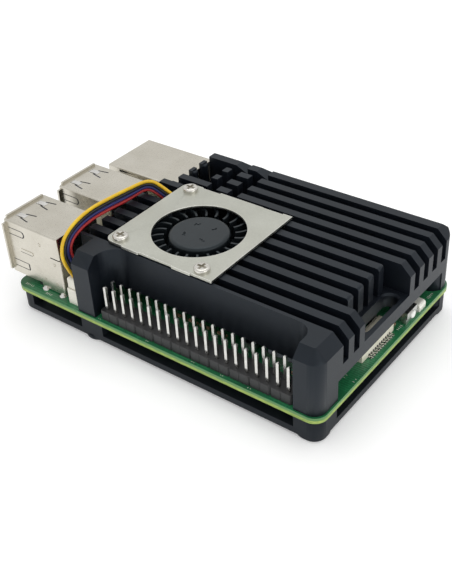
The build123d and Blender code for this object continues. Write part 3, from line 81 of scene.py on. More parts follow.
class Tree:
    """A new material, and short ways to wire its nodes."""

    def __init__(self, name):
        self.mat = bpy.data.materials.new(name)
        self.mat.use_nodes = True
        self.nodes = self.mat.node_tree.nodes
        self.bsdf = self.nodes["Principled BSDF"]
        self.place = self.add("ShaderNodeTexCoord").outputs["Object"]

    def add(self, kind, **values):
        """New node; a value goes to the input of that name, or else to the node's own setting."""
        node = self.nodes.new(kind)
        for key, value in values.items():
            if key in node.inputs:
                node.inputs[key].default_value = value
            else:
                setattr(node, key, value)
        return node

    def link(self, a, b):
        self.mat.node_tree.links.new(a, b)

    def set(self, **values):
        """Constants on the shader's own sockets; an underscore stands for a space."""
        for key, value in values.items():
            self.bsdf.inputs[key.replace("_", " ")].default_value = value

    def noise(self, size_mm, detail=3.0, rough=0.55, stretch=None):
        """Noise whose blobs are about size_mm across."""
        source = self.place
        if stretch:
            mapping = self.add("ShaderNodeMapping", Scale=stretch)
            self.link(source, mapping.inputs["Vector"])
            source = mapping.outputs["Vector"]
        scale = 1.0 / (size_mm * MM)
        node = self.add("ShaderNodeTexNoise", Scale=scale, Detail=detail, Roughness=rough)
        self.link(source, node.inputs["Vector"])
        return node.outputs["Fac"]

    def ramp(self, fac, stops):
        """Colour ramp of two stops, each a position and a colour or grey."""
        node = self.add("ShaderNodeValToRGB")
        for element, (position, colour) in zip(node.color_ramp.elements, stops):
            element.position = position
            grey = isinstance(colour, (int, float))
            element.color = (colour, colour, colour, 1) if grey else (*colour, 1)
        self.link(fac, node.inputs["Fac"])
        return node.outputs["Color"]

    def span(self, fac, lo, hi, source=(0.0, 1.0)):
        """Maps fac from the source range to lo..hi."""
        node = self.add("ShaderNodeMapRange")
        node.inputs["From Min"].default_value = source[0]
        node.inputs["From Max"].default_value = source[1]
        node.inputs["To Min"].default_value = lo
        node.inputs["To Max"].default_value = hi
        self.link(fac, node.inputs["Value"])
        return node.outputs["Result"]

    def join(self, operation, *inputs):
        """Math node over one or two sockets."""
        node = self.add("ShaderNodeMath", operation=operation)
        for socket, value in zip(node.inputs, inputs):
            self.link(value, socket)
        return node.outputs[0]

    def mix(self, fac, a, b):
        """Mixes two colours, each a socket or a colour."""
        # This node has its colour inputs at 6 and 7 and its colour output at 2.
        node = self.add("ShaderNodeMix", data_type="RGBA")
        self.link(fac, node.inputs["Factor"])
        for socket, value in ((node.inputs[6], a), (node.inputs[7], b)):
            if isinstance(value, bpy.types.NodeSocket):
                self.link(value, socket)
            else:
                socket.default_value = (*value, 1)
        return node.outputs[2]

    def part_of(self, vector, axis):
        """One coordinate of a vector socket."""
        node = self.add("ShaderNodeSeparateXYZ")
        self.link(vector, node.inputs[0])
        return node.outputs[axis]

    def edge(self, radius_mm):
        """1 along convex and concave edges, 0 on flats."""
        bevel = self.add("ShaderNodeBevel", samples=4, Radius=radius_mm * MM)
        geometry = self.add("ShaderNodeNewGeometry")
        dot = self.add("ShaderNodeVectorMath", operation="DOT_PRODUCT")
        self.link(bevel.outputs["Normal"], dot.inputs[0])
        self.link(geometry.outputs["Normal"], dot.inputs[1])
        starts, full = EDGE_TURN
        return self.span(dot.outputs["Value"], 1.0, 0.0, (1 - full, 1 - starts))

    def bump(self, height, depth_mm, strength):
        """Puts the height on the surface as relief of that depth."""
        node = self.add("ShaderNodeBump", Strength=strength, Distance=depth_mm * MM)
        self.link(height, node.inputs["Height"])
        self.link(node.outputs["Normal"], self.bsdf.inputs["Normal"])


def surface(
    name,
    dark,
    light,
    wear_and_highlight,
    rough,
    patch,
    grain,
    depth,
    wear_and_highlight_radius,
    metal=0.0,
    strength=0.5,
    wear_and_highlight_share=0.6,
    stretch=None,
    coat=0.0,
    coat_rough=0.1,
    specular=0.5,
    sub=0.0,
    mottle=0.12,
    tint=None,
):
    """Procedural finish: two-tone patches, a fine grain in tone and relief, and lighter edges that
    are partly wear and partly a painted highlight.

    patch, grain, depth and the edge radius are in mm; mottle is how much the grain changes the
    tone.
    """
    t = Tree(name)
    t.set(Metallic=metal, Specular_IOR_Level=specular, Coat_Weight=coat, Coat_Roughness=coat_rough)
    if tint:
        t.set(Specular_Tint=(*tint, 1))
    if sub:
        t.set(Subsurface_Weight=sub, Subsurface_Scale=0.6)
        t.set(Subsurface_Radius=(0.001, 0.0008, 0.0006))
    big = t.noise(patch)
    fine = t.noise(grain, 2.0, 0.6, stretch)
    tone = t.ramp(t.span(big, 0.0, 1.0, NOISE_RANGE), [(0.0, dark), (1.0, light)])
    grained = t.add("ShaderNodeVectorMath", operation="SCALE")
    t.link(tone, grained.inputs[0])
    t.link(t.span(fine, 1 - mottle, 1 + mottle, NOISE_RANGE), grained.inputs["Scale"])
    # Edges take the lighter edge colour in patches: partly wear, partly a painted highlight of the
    # chamfers.
    wear_and_highlight_amount = t.span(big, wear_and_highlight_share * LEAST_WEAR_AND_HIGHLIGHT, wear_and_highlight_share, WEAR_AND_HIGHLIGHT_RANGE)
    colour = t.mix(t.join("MULTIPLY", t.edge(wear_and_highlight_radius), wear_and_highlight_amount), grained.outputs[0], wear_and_highlight)
    t.link(colour, t.bsdf.inputs["Base Color"])
    t.link(t.span(fine, *rough, ROUGH_RANGE), t.bsdf.inputs["Roughness"])
    t.bump(fine, depth, strength)
    return t.mat


MASK_GREENS = ((0.010, 0.105, 0.040), (0.018, 0.165, 0.062))
TRACK_GREEN = (0.030, 0.240, 0.095)
WEAVE_GREENS = ((0.15, 0.26, 0.040), (0.40, 0.52, 0.095))
RUN_GREEN = (0.045, 0.20, 0.075)
TRACK_RUN = 4.6
TRACK_PITCH = 0.62
TRACK_GAP = 0.11
MASK_PATCH = 6.0
FIELD_SIZE = 9.0
FIELD_BORDER = (0.48, 0.52)
WEAVE_SIZE = 0.35
WEAVE_STRETCH = (0.25, 0.25, 2.2)
DIMPLE_SIZE = 0.3
RELIEF = 0.02
# How upright a face's normal is where the cut edge takes over from the board's face.
SIDE_UP = (0.3, 0.6)
RUN_COVER = 0.8
# Heights on the cut edge between which the mask takes over from the weave.
RUN_FADE = (-0.75, -0.55)


def board_finish():
    """Green solder mask with lighter tracks under it, and the glass weave on the cut edge."""
    t = Tree("board_green")
    t.set(Coat_Weight=0.35, Coat_Roughness=0.18)
    mask = t.span(t.noise(MASK_PATCH, 2.0), 0.0, 1.0, NOISE_RANGE)
    brick = t.add("ShaderNodeTexBrick", Scale=1.0, offset=0.37, squash=0.6, squash_frequency=3)
    brick.inputs["Brick Width"].default_value = TRACK_RUN * MM
    brick.inputs["Row Height"].default_value = TRACK_PITCH * MM
    brick.inputs["Mortar Size"].default_value = TRACK_GAP * MM
    brick.inputs["Mortar Smooth"].default_value = 0.2
    t.link(t.place, brick.inputs["Vector"])
    # Tracks cross only some fields of the board.
    field = t.span(t.noise(FIELD_SIZE, 1.0), 0.0, 1.0, FIELD_BORDER)
    track = t.join("MULTIPLY", brick.outputs["Fac"], field)
    top = t.mix(track, t.ramp(mask, list(zip((0, 1), MASK_GREENS))), TRACK_GREEN)
    normal = t.add("ShaderNodeNewGeometry").outputs["Normal"]
    is_edge = t.span(t.join("ABSOLUTE", t.part_of(normal, "Z")), 1.0, 0.0, SIDE_UP)
    weave = t.span(t.noise(WEAVE_SIZE, 3.0, 0.6, WEAVE_STRETCH), 0.0, 1.0, NOISE_RANGE)
    # Mask has run over the upper part of the cut edge.
    heights = [at(0, 0, z).z for z in RUN_FADE]
    run = t.span(t.part_of(t.place, "Z"), 0.0, RUN_COVER, heights)
    cut = t.mix(run, t.ramp(weave, list(zip((0, 1), WEAVE_GREENS))), RUN_GREEN)
    t.link(t.mix(is_edge, top, cut), t.bsdf.inputs["Base Color"])
    t.link(t.span(is_edge, 0.32, 0.62), t.bsdf.inputs["Roughness"])
    t.bump(t.join("ADD", track, t.noise(DIMPLE_SIZE, 2.0)), RELIEF, 0.4)
    return t.mat


FINISHES = {
    "anodised_black": dict(
        dark=(0.0040, 0.0052, 0.0080), light=(0.0062, 0.0082, 0.0125), rough=(0.36, 0.48),
        patch=9.0, grain=0.14, depth=0.005, strength=0.35, wear_and_highlight=(0.026, 0.031, 0.042),
        wear_and_highlight_radius=0.16, wear_and_highlight_share=0.7, specular=0.36, tint=(0.78, 0.90, 1.0),
    ),
    # Duller copy of the black anodising for the lower shell: painted shade.
    "anodised_base_shaded": dict(
        dark=(0.0085, 0.0100, 0.0130), light=(0.0110, 0.0130, 0.0170), rough=(0.40, 0.52),
        patch=9.0, grain=0.14, depth=0.005, strength=0.35, wear_and_highlight=(0.022, 0.027, 0.036),
        wear_and_highlight_radius=0.16, wear_and_highlight_share=0.7, specular=0.20, tint=(0.78, 0.90, 1.0),
    ),
    # Near-white edge colour: a painted highlight along the plate's cut edges, with some wear.
    "nickel_plate": dict(
        dark=(0.50, 0.505, 0.445), light=(0.56, 0.565, 0.505), rough=(0.32, 0.40), metal=1.0,
        patch=8.0, grain=0.30, depth=0.0025, strength=0.18, wear_and_highlight=(1.0, 0.985, 0.94),
        wear_and_highlight_radius=0.30, wear_and_highlight_share=1.3, mottle=0.05,
    ),
    "shield_nickel": dict(
        dark=(0.58, 0.55, 0.475), light=(0.65, 0.62, 0.545), rough=(0.26, 0.32), metal=1.0,
        patch=6.0, grain=0.45, depth=0.0008, strength=0.04, wear_and_highlight=(0.90, 0.87, 0.78),
        wear_and_highlight_radius=0.18, wear_and_highlight_share=0.9, mottle=0.02,
    ),
    "screw_nickel": dict(
        dark=(0.62, 0.60, 0.55), light=(0.74, 0.72, 0.67), rough=(0.18, 0.30), metal=1.0, patch=1.2,
        grain=0.12, depth=0.003, wear_and_highlight=(0.88, 0.86, 0.82), wear_and_highlight_radius=0.08,
    ),
    "screw_black": dict(
        dark=(0.016, 0.016, 0.018), light=(0.028, 0.028, 0.031), rough=(0.30, 0.45), metal=0.3,
        patch=1.5, grain=0.1, depth=0.004, wear_and_highlight=(0.12, 0.12, 0.125), wear_and_highlight_radius=0.08,
    ),
    "plastic_black": dict(
        dark=(0.020, 0.020, 0.021), light=(0.030, 0.030, 0.032), rough=(0.44, 0.58), patch=3.0,
        grain=0.16, depth=0.008, wear_and_highlight=(0.060, 0.060, 0.064), wear_and_highlight_radius=0.08,
    ),
    "plastic_grey": dict(
        dark=(0.0080, 0.0105, 0.0125), light=(0.0115, 0.0150, 0.0175), rough=(0.30, 0.42),
        patch=3.0, grain=0.18, depth=0.004, strength=0.3, wear_and_highlight=(0.045, 0.056, 0.066),
        wear_and_highlight_radius=0.12, specular=0.36, tint=(0.78, 0.92, 1.0), coat=0.12, coat_rough=0.22,
    ),
    "plastic_cream": dict(
        dark=(0.72, 0.70, 0.56), light=(0.82, 0.80, 0.68), rough=(0.42, 0.56), patch=2.5,
        grain=0.14, depth=0.006, wear_and_highlight=(0.90, 0.89, 0.80), wear_and_highlight_radius=0.06,
    ),
    "plastic_white": dict(
        dark=(0.76, 0.74, 0.65), light=(0.86, 0.84, 0.75), rough=(0.40, 0.54), patch=2.5,
        grain=0.14, depth=0.006, wear_and_highlight=(0.92, 0.92, 0.88), wear_and_highlight_radius=0.06,
    ),
    "plastic_blue": dict(
        dark=(0.010, 0.075, 0.38), light=(0.016, 0.11, 0.50), rough=(0.38, 0.52), patch=2.5,
        grain=0.14, depth=0.006, wear_and_highlight=(0.05, 0.18, 0.60), wear_and_highlight_radius=0.06,
    ),
    "latch_beige": dict(
        dark=(0.46, 0.43, 0.34), light=(0.56, 0.53, 0.43), rough=(0.36, 0.50), patch=2.0,
        grain=0.12, depth=0.005, wear_and_highlight=(0.55, 0.53, 0.46), wear_and_highlight_radius=0.06,
    ),
    "pin_gold": dict(
        dark=(0.75, 0.55, 0.22), light=(0.86, 0.66, 0.30), rough=(0.16, 0.28), metal=1.0, patch=1.0,
        grain=0.1, depth=0.002, wear_and_highlight=(0.95, 0.80, 0.45), wear_and_highlight_radius=0.05,
    ),
    "pin_tin": dict(
        dark=(0.66, 0.65, 0.62), light=(0.80, 0.79, 0.76), rough=(0.16, 0.28), metal=1.0, patch=1.4,
        grain=0.12, depth=0.003, wear_and_highlight=(0.92, 0.91, 0.89), wear_and_highlight_radius=0.06,
    ),
    "chip_black": dict(
        dark=(0.012, 0.012, 0.013), light=(0.019, 0.019, 0.021), rough=(0.45, 0.60), patch=2.0,
        grain=0.1, depth=0.008, wear_and_highlight=(0.04, 0.04, 0.042), wear_and_highlight_radius=0.08,
    ),
    "chip_lid": dict(
        dark=(0.46, 0.465, 0.47), light=(0.56, 0.565, 0.57), rough=(0.30, 0.42), metal=1.0,
        patch=3.0, grain=0.2, depth=0.004, wear_and_highlight=(0.7, 0.7, 0.7), wear_and_highlight_radius=0.1,
    ),
    "can_metal": dict(
        dark=(0.50, 0.50, 0.48), light=(0.62, 0.62, 0.60), rough=(0.24, 0.36), metal=1.0, patch=2.0,
        grain=0.25, depth=0.004, wear_and_highlight=(0.8, 0.8, 0.78), wear_and_highlight_radius=0.08,
    ),
    "pad_grey": dict(
        dark=(0.22, 0.25, 0.29), light=(0.28, 0.31, 0.36), rough=(0.7, 0.85), patch=1.5, grain=0.15,
        depth=0.02, wear_and_highlight=(0.35, 0.38, 0.42), wear_and_highlight_radius=0.08,
    ),
    "magnet_dark": dict(
        dark=(0.030, 0.028, 0.027), light=(0.050, 0.047, 0.045), rough=(0.45, 0.6), metal=0.2,
        patch=1.2, grain=0.1, depth=0.006, wear_and_highlight=(0.12, 0.115, 0.11), wear_and_highlight_radius=0.08,
    ),
    "steel": dict(
        dark=(0.48, 0.48, 0.47), light=(0.60, 0.60, 0.59), rough=(0.22, 0.34), metal=1.0, patch=2.0,
        grain=0.12, depth=0.003, wear_and_highlight=(0.75, 0.75, 0.74), wear_and_highlight_radius=0.06,
    ),
    "bronze": dict(
        dark=(0.42, 0.25, 0.11), light=(0.55, 0.34, 0.16), rough=(0.32, 0.46), metal=1.0, patch=1.0,
        grain=0.08, depth=0.006, wear_and_highlight=(0.7, 0.5, 0.28), wear_and_highlight_radius=0.06,
    ),
    "copper_wire": dict(
        dark=(0.50, 0.17, 0.06), light=(0.66, 0.25, 0.09), rough=(0.22, 0.34), metal=0.9, patch=0.8,
        grain=0.12, depth=0.02, stretch=(0.2, 0.2, 3.0), wear_and_highlight=(0.8, 0.4, 0.2), wear_and_highlight_radius=0.05,
    ),
    "wire_yellow": dict(
        dark=(0.70, 0.42, 0.010), light=(0.86, 0.58, 0.018), rough=(0.30, 0.42), patch=5.0,
        grain=0.2, depth=0.004, sub=0.05, wear_and_highlight=(0.90, 0.68, 0.08), wear_and_highlight_radius=0.05, mottle=0.05,
    ),
    "wire_black": dict(
        dark=(0.012, 0.012, 0.014), light=(0.020, 0.020, 0.023), rough=(0.34, 0.46), patch=3.0,
        grain=0.2, depth=0.004, wear_and_highlight=(0.04, 0.04, 0.045), wear_and_highlight_radius=0.05,
    ),
    "wire_blue": dict(
        dark=(0.018, 0.022, 0.125), light=(0.028, 0.034, 0.175), rough=(0.34, 0.46), patch=3.0,
        grain=0.2, depth=0.004, wear_and_highlight=(0.06, 0.07, 0.26), wear_and_highlight_radius=0.05,
    ),
    "wire_red": dict(
        dark=(0.38, 0.020, 0.022), light=(0.50, 0.030, 0.032), rough=(0.36, 0.48), patch=3.0,
        grain=0.2, depth=0.004, sub=0.05, wear_and_highlight=(0.6, 0.08, 0.08), wear_and_highlight_radius=0.05,
    ),
    "ceramic_tan": dict(
        dark=(0.30, 0.19, 0.11), light=(0.42, 0.29, 0.18), rough=(0.35, 0.5), patch=0.8, grain=0.08,
        depth=0.003, wear_and_highlight=(0.55, 0.42, 0.3), wear_and_highlight_radius=0.05,
    ),
    "led_clear": dict(
        dark=(0.80, 0.80, 0.72), light=(0.90, 0.90, 0.82), rough=(0.18, 0.30), patch=1.0, grain=0.2,
        depth=0.004, wear_and_highlight=(0.95, 0.95, 0.9), wear_and_highlight_radius=0.06, coat=0.3,
    ),
    "button_white": dict(
        dark=(0.82, 0.82, 0.79), light=(0.90, 0.90, 0.87), rough=(0.34, 0.46), patch=1.0,
        grain=0.12, depth=0.004, wear_and_highlight=(0.95, 0.95, 0.92), wear_and_highlight_radius=0.06,
    ),
}
M = {name: surface(name, **look) for name, look in FINISHES.items()}
M["board_green"] = board_finish()

# Every carried-over node takes the finish of its slot; the lower shell takes a duller copy of the
# black anodising, with weaker reflections, as painted shade. Hard edges that show get a small
# break, in mm.
NODE_FINISH = {"case_lower_shell": "anodised_base_shaded"}
EDGE_BREAK = {
    "case_upper_shell": 0.16, "case_lower_shell": 0.16, "pcb": 0.05, "fan_cover_plate": 0.08,
    "gpio_header_block": 0.08, "fan_plug": 0.08, "fan_header": 0.06, "pcie_socket": 0.06,
}
SEAM_GAP = 0.002
HARD_EDGE = math.radians(28)
slots = {row["node"]: row["material_slot"] for row in frame["record"]["subparts"]}
for name, obj in frame["nodes"].items():
    obj.data.materials.clear()
    obj.data.materials.append(M[NODE_FINISH.get(name, slots[name])])
    if name in EDGE_BREAK:
        weld = obj.modifiers.new("weld", "WELD")
        weld.merge_threshold = SEAM_GAP * MM
        bevel = obj.modifiers.new("edge_break", "BEVEL")
        bevel.width = EDGE_BREAK[name] * MM
        bevel.segments = 2
        bevel.limit_method = "ANGLE"
        bevel.angle_limit = HARD_EDGE
        bevel.harden_normals = True

# ---------------------------------------------------------------- fan lead
# The outermost wire's route from the fan to the plug, and at each point the way towards the next
# wire in, in wire steps.
ROUTE = (
    ((60.6, 23.4, 14.45), (0, 0, -1.11)),
    ((63.6, 23.7, 16.1), (0.5, 0.1, -0.86)),
    ((67.0, 25.2, 18.6), (0.4, 0, -0.92)),
    ((68.3, 31.2, 18.5), (0, 0, -1)),
    ((69.0, 37.6, 18.7), (0, 0, -1)),
    ((69.2, 43.8, 18.9), (0, 0, -1)),
    ((68.6, 50.0, 18.2), (0, -0.35, -0.94)),
    ((68.1, 54.2, 15.8), (0, -0.9, -0.61)),
    ((67.7, 55.0, 11.0), (0, -1.04, 0.1)),
    ((66.8, 53.1, 6.7), (0, -1.111, 0)),
)
WIRE_D = 0.8
WIRE_STEP = 0.9
WIRES = (("yellow", 46.0), ("black", 44.9), ("blue", 43.7), ("red", 42.6))  # with lengths in mm
for k, (colour, length) in enumerate(WIRES):
    curve = bpy.data.curves.new("lead_" + colour, "CURVE")
    curve.dimensions = "3D"
    curve.bevel_depth = WIRE_D / 2 * MM
    curve.bevel_resolution = 6
    curve.resolution_u = 12
    curve.use_fill_caps = True
    route = [at(*place) + Vector(inward) * (WIRE_STEP * k * MM) for place, inward in ROUTE]
    spline = curve.splines.new("NURBS")
    spline.points.add(len(route) - 1)
    for point, place in zip(spline.points, route):
        point.co = (*place, 1)
    spline.order_u = 3
    spline.use_endpoint_u = True
    curve.materials.append(M["wire_" + colour])
    lead = show("lead_" + colour, curve)
    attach(lead, "computer")
    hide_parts("fan_wire_" + colour)


# ---------------------------------------------------------------- small pieces on the board
def piece(name, build, slot):
    """One mesh object riding on the computer, filled by build(bm)."""
    mesh = bpy.data.meshes.new(name)
    bm = bmesh.new()
    build(bm)
    bm.to_mesh(mesh)
    bm.free()
    mesh.materials.append(M[slot])
    obj = show(name, mesh)
    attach(obj, "computer")


def eased_box(bm, centre, size, ease, turn=0.0):
    """Box with broken edges, in board mm."""
    made = bmesh.ops.create_cube(bm, size=1.0)["verts"]
    bmesh.ops.scale(bm, vec=Vector(size) * MM, verts=made)
    edges = list(dict.fromkeys(e for v in made for e in v.link_edges))
    result = bmesh.ops.bevel(
        bm, geom=edges, offset=ease * MM, segments=2, affect="EDGES", profile=0.5
    )
    made = list({v for f in result["faces"] for v in f.verts} | {v for v in made if v.is_valid})
    bmesh.ops.rotate(bm, matrix=Matrix.Rotation(turn, 3, "Z"), verts=made)
    bmesh.ops.translate(bm, vec=at(*centre), verts=made)


# Solder fillets on the legs of the shields, four to a USB stack and four to the network jack.
SHIELD_LEGS = [(x, y) for x in (71.4, 76.9) for y in (53.4, 40.6, 35.45, 22.65)]
SHIELD_LEGS += [(x, y) for x in (72.4, 78.4) for y in (18.05, 2.35)]
SOLDER_R = 1.15
SOLDER_H = 0.75
# Shares of the radius and of the height.
SOLDER_RINGS = ((1.0, 0.0), (0.82, 0.16), (0.62, 0.42), (0.42, 0.78), (0.2, 1.0))
SOLDER_SIDES = 14
SOLDER_SWELL = 0.09
SOLDER_ROUGH = 0.03


def mound(bm, x, y):
    """Solder fillet: a turned skirt that climbs steeply at the middle, a little uneven."""
    rows = []
    for share, rise in SOLDER_RINGS:
        row = []
        for k in range(SOLDER_SIDES):
            a = 2 * math.pi * k / SOLDER_SIDES
            swell = SOLDER_SWELL * math.sin(3 * a + x)
            wobble = 1 + swell + random.uniform(-SOLDER_ROUGH, SOLDER_ROUGH)
            r = SOLDER_R * share * wobble
            row.append(bm.verts.new(
                at(x + r * math.cos(a), y + r * math.sin(a), BOARD_TOP + SOLDER_H * rise)
            ))
        rows.append(row)
    for low, high in zip(rows, rows[1:]):
        for k in range(SOLDER_SIDES):
            after = (k + 1) % SOLDER_SIDES
            face = bm.faces.new((low[k], low[after], high[after], high[k]))
            face.smooth = True
    bm.faces.new(rows[-1])
    bm.faces.new(list(reversed(rows[0])))


def leg_solder(bm):
    for x, y in SHIELD_LEGS:
        mound(bm, x, y)


piece("leg_solder", leg_solder, "pin_tin")

# Printed ticks, in place of printed legends: (x, y, count, step along x, step along y, length).
TICKS = (
    (80.2, 54.7, 5, 0.55, 0.0, 0.75), (74.0, 54.9, 4, 0.5, 0.0, 0.6), (1.4, 6.9, 5, 0.0, 0.5, 0.8),
    (1.5, 20.9, 4, 0.0, 0.55, 0.7), (2.9, 41.2, 2, 0.0, 0.9, 0.5), (0.7, 41.3, 2, 0.0, 0.9, 0.5),
    (58.0, 55.3, 2, 0.5, 0.0, 0.3), (43.9, 55.4, 2, 0.5, 0.0, 0.3), (31.2, 55.4, 2, 0.6, 0.0, 0.3),
    (23.7, 55.4, 2, 0.5, 0.0, 0.3), (16.7, 55.4, 2, 0.6, 0.0, 0.3),
)
TICK_W = 0.13
TICK_T = 0.02
TICK_EASE = 0.004
TICK_LEANS = (-0.35, 0.0, 0.0, 0.4)


def board_ticks(bm):
    for x, y, count, dx, dy, length in TICKS:
        across = 0.0 if dy else math.pi / 2
        for k in range(count):
            size = (length * random.uniform(0.6, 1.0), TICK_W, TICK_T)
            centre = (x + dx * k, y + dy * k, BOARD_TOP + TICK_T / 2)
            eased_box(bm, centre, size, TICK_EASE, across + random.choice(TICK_LEANS))


piece("board_ticks", board_ticks, "plastic_white")

# The small parts by the button bracket: (x, y, height, turn).
CHIP_PARTS = ((2.9, 21.6, 0.45, 90), (3.8, 20.9, 0.35, 90), (3.0, 22.8, 0.35, 0))
CHIP_L = 1.0
CHIP_W = 0.5
CHIP_LIFT = 0.02
BODY_SHARE = (0.96, 0.94)  # of the length and the width, inside the metal ends
BODY_EASE = 0.04
CAP_SHARE = 0.24  # of the length, for each metal end
CAP_EXTRA = 0.04  # the ends are this much taller than the body
END_EASE = 0.05


def chip_bodies(bm):
    for x, y, height, turn in CHIP_PARTS:
        centre = (x, y, BOARD_TOP + height / 2 + CHIP_LIFT)
        size = (CHIP_L * BODY_SHARE[0], CHIP_W * BODY_SHARE[1], height)
        eased_box(bm, centre, size, BODY_EASE, math.radians(turn))


def chip_ends(bm):
    away = CHIP_L * (0.5 - CAP_SHARE / 2)
    for x, y, height, turn in CHIP_PARTS:
        a = math.radians(turn)
        size = (CHIP_L * CAP_SHARE, CHIP_W, height + CAP_EXTRA)
        z = BOARD_TOP + height / 2 + CHIP_LIFT
        for side in (-away, away):
            eased_box(bm, (x + side * math.cos(a), y + side * math.sin(a), z), size, END_EASE, a)


piece("chip_bodies", chip_bodies, "ceramic_tan")
piece("chip_ends", chip_ends, "pin_tin")

# Contacts at the front of the ribbon socket: bright solder ends, with dark boxes in the windows and
# between the ends as painted shade.
SOCKET_MID = 29.3
SOCKET_FRONT = 2.15
CONTACTS = 11
CONTACT_STEP = 0.86
CONTACT_EASE = 0.03
# Rows of boxes: (mm in front of the socket, height, size, shift along the row in steps).
WINDOW_SHADE_ROWS = ((0.02, 0.42, (0.1, 0.42, 0.5), 0.0), (0.62, 0.10, (0.34, 0.36, 0.16), 0.5))
SOLDER_ROWS = ((0.30, 0.22, (0.42, 0.34, 0.26), 0.5), (0.95, 0.13, (0.30, 0.34, 0.20), 0.0))


def contact_rows(bm, rows):
    for out, z, size, shift in rows:
        for k in range(CONTACTS):
            y = SOCKET_MID + (k - (CONTACTS - 1) / 2 + shift) * CONTACT_STEP
            eased_box(bm, (SOCKET_FRONT - out, y, z), size, CONTACT_EASE)


# Black boxes standing for the shade in the windows: painted shade.
def contact_window_shade(bm):
    contact_rows(bm, WINDOW_SHADE_ROWS)


def contact_solder(bm):
    contact_rows(bm, SOLDER_ROWS)


piece("contact_window_shade", contact_window_shade, "chip_black")
piece("contact_solder", contact_solder, "pin_tin")

# Dark strips over the slits round the spring tongues of the USB shells, painted shade in the gaps
# and where the tongues dip in, and a dark line along the rib; and the tongues' bent tips in a
# paler, glossier metal, a painted highlight. Depths are from the mouth of the shell.
SHELL_FACE = 87.5
SHELL_TOP = 15.6
SHELL_W = 13.1
STACK_MIDS = (47.0, 29.05)
SIDE_TONGUES = ((12.9, 0.83, 0.78), (4.2, 0.88, 0.30))  # (height, half width, corner radius)
SIDE_TIP = 6.05
SIDE_ROOT = 1.0
SIDE_LINE_W = 0.16
CORNER_STEPS = 6
LEAST_FLAT = 0.1  # the tip is flat between its corners where there is more than this on each side
SHADE_CRESCENT_SHIFT = 0.12
SHADE_CRESCENT_PROUD = 1.4  # times the other strips
RIB_Z = 8.06
RIB_DEPTHS = (8.1, 4.0)
RIB_PROUD = 0.12
RIB_LINE_W = 0.09
TOP_OFFSETS = (-3.2, 3.2)
TOP_SLIT_ENDS = ((3.0, 0.9), (5.9, 1.45))  # (depth, distance from the tongue's middle)
TOP_TIP_DEPTH = 2.5
TOP_TIP_CURVE = ((1.2, 0.01), (0.7, 0.05), (0.0, 0.09), (-0.8, 0.07), (-1.5, 0.02))  # (x, rise)
TOP_TIP_W = 1.35
TOP_TIP_T = 0.02
SLIT_W = 0.30
PROUD = 0.025


def strip(bm, points, normal, width, thick=PROUD):
    """Flat ribbon of one width along board points, lying on a face with that normal."""
    normal = Vector(normal)
    places = [Vector(q) for q in points]
    rows = []
    for k, q in enumerate(places):
        along = places[min(k + 1, len(places) - 1)] - places[max(k - 1, 0)]
        across = normal.cross(along).normalized() * (width / 2)
        over = normal * thick
        corners = (q - across, q + across, q + across + over, q - across + over)
        rows.append([bm.verts.new(at(*c)) for c in corners])
    for low, high in zip(rows, rows[1:]):
        for i in range(4):
            j = (i + 1) % 4
            bm.faces.new((low[i], low[j], high[j], high[i]))
    bm.faces.new(list(reversed(rows[0])))
    bm.faces.new(rows[-1])


def tongue_loop(y, z, half, r):
    """Outline of a side tongue: along one side, round its tip and back."""
    tip = SHELL_FACE - SIDE_TIP
    root = SHELL_FACE - SIDE_ROOT
    turns = [math.pi / 2 * k / CORNER_STEPS for k in range(1, CORNER_STEPS)]
    points = [(root, y, z + half), (tip + r, y, z + half)]
    points += [(tip + r - r * math.sin(a), y, z + half - r + r * math.cos(a)) for a in turns]
    points.append((tip, y, z + half - r))
    if half - r > LEAST_FLAT:
        points.append((tip, y, z))
    points.append((tip, y, z - half + r))
    points += [(tip + r - r * math.cos(a), y, z - half + r - r * math.sin(a)) for a in turns]
    points += [(tip + r, y, z - half), (root, y, z - half)]
    return points


# Dark strips laid over the slits: painted shade.
def tongue_slit_shade(bm):
    for mid in STACK_MIDS:
        for side in (-1, 1):
            y = mid + side * SHELL_W / 2
            outward = (0, side, 0)
            for z, half, r in SIDE_TONGUES:
                loop = tongue_loop(y, z, half, r)
                strip(bm, loop, outward, SIDE_LINE_W)
                # A wider dark crescent round each tongue's tip: painted shade where the tongue dips
                # in.
                shade_crescent = [(px + SHADE_CRESCENT_SHIFT, py, pz) for px, py, pz in loop[3:-3]]
                strip(bm, shade_crescent, outward, SLIT_W, PROUD * SHADE_CRESCENT_PROUD)
            rib = [(SHELL_FACE - depth, y + side * RIB_PROUD, RIB_Z) for depth in RIB_DEPTHS]
            strip(bm, rib, outward, RIB_LINE_W)
        for offset in TOP_OFFSETS:
            for side in (-1, 1):
                slit = [
                    (SHELL_FACE - depth, mid + offset + side * out, SHELL_TOP)
                    for depth, out in TOP_SLIT_ENDS
                ]
                strip(bm, slit, (0, 0, 1), SLIT_W)


# Paler, glossier metal on the bent tips: a painted highlight.
def tongue_tip_highlight(bm):
    x = SHELL_FACE - TOP_TIP_DEPTH
    for mid in STACK_MIDS:
        for offset in TOP_OFFSETS:
            points = [(x + dx, mid + offset, SHELL_TOP + rise) for dx, rise in TOP_TIP_CURVE]
            strip(bm, points, (0, 0, 1), TOP_TIP_W, TOP_TIP_T)


piece("tongue_slit_shade", tongue_slit_shade, "chip_black")
piece("tongue_tip_highlight", tongue_tip_highlight, "pin_tin")

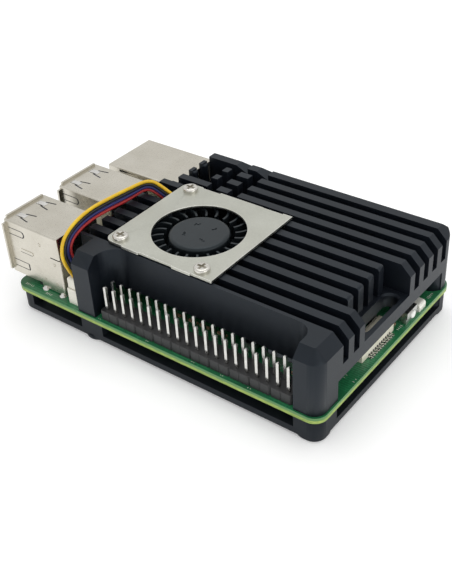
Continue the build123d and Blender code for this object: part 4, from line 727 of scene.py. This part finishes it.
# ---------------------------------------------------------------- stage, light and camera
FLOOR_HALF = 2.0
FLOOR_PATCH = 120.0
FLOOR_GREYS = ((0.3, 0.90), (0.7, 0.93))
FLOOR_GLOW = 0.22
floor_mesh = bpy.data.meshes.new("floor")
bm = bmesh.new()
bmesh.ops.create_grid(bm, x_segments=8, y_segments=8, size=FLOOR_HALF)
bm.to_mesh(floor_mesh)
bm.free()
pale = Tree("floor_pale")
pale.set(Roughness=0.8, Specular_IOR_Level=0.1)
pale.set(Emission_Color=(1, 1, 1, 1), Emission_Strength=FLOOR_GLOW)
tone = pale.ramp(pale.noise(FLOOR_PATCH, 2.0), FLOOR_GREYS)
pale.link(tone, pale.bsdf.inputs["Base Color"])
floor_mesh.materials.append(pale.mat)
show("floor", floor_mesh)


def softbox(name, place, aim, size, power):
    """Rectangular lamp at a place, turned to face the aim; metres and watts."""
    lamp = bpy.data.lights.new(name, "AREA")
    lamp.shape = "RECTANGLE"
    lamp.size, lamp.size_y = size
    lamp.energy = power
    obj = show(name, lamp)
    obj.location = place
    obj.rotation_mode = "QUATERNION"
    obj.rotation_quaternion = (Vector(aim) - Vector(place)).to_track_quat("-Z", "Y")


softbox("key", (0.10, -0.15, 0.60), (0, 0, 0), (0.5, 0.5), 0.9)
softbox("fill", (-0.55, 0.10, 0.20), (0, 0, 0.01), (0.4, 0.3), 0.5)

world = bpy.data.worlds.new("studio")
bpy.context.scene.world = world
world.use_nodes = True
backdrop = world.node_tree.nodes["Background"].inputs
backdrop["Color"].default_value = (1.0, 1.0, 1.0, 1)
backdrop["Strength"].default_value = 0.80
bpy.context.scene.view_settings.view_transform = "Standard"

# The photograph's camera, solved from known points of the part: metres, and degrees.
CAMERA_PLACE = (-0.11345, 0.13984, 0.13366)
CAMERA_TURN = (54.0196, 2.9022, -142.9181)
CAMERA_SHIFT = (0.0012, -0.0004)
FOCAL_LENGTH = 58.03
lens = bpy.data.cameras.new("camera")
lens.lens = FOCAL_LENGTH
lens.sensor_width = 36.0
lens.sensor_fit = "AUTO"
lens.shift_x, lens.shift_y = CAMERA_SHIFT
lens.clip_start = 0.01
lens.clip_end = 5.0
camera = show("camera", lens)
camera.location = CAMERA_PLACE
camera.rotation_euler = [math.radians(turn) for turn in CAMERA_TURN]
bpy.context.scene.camera = camera
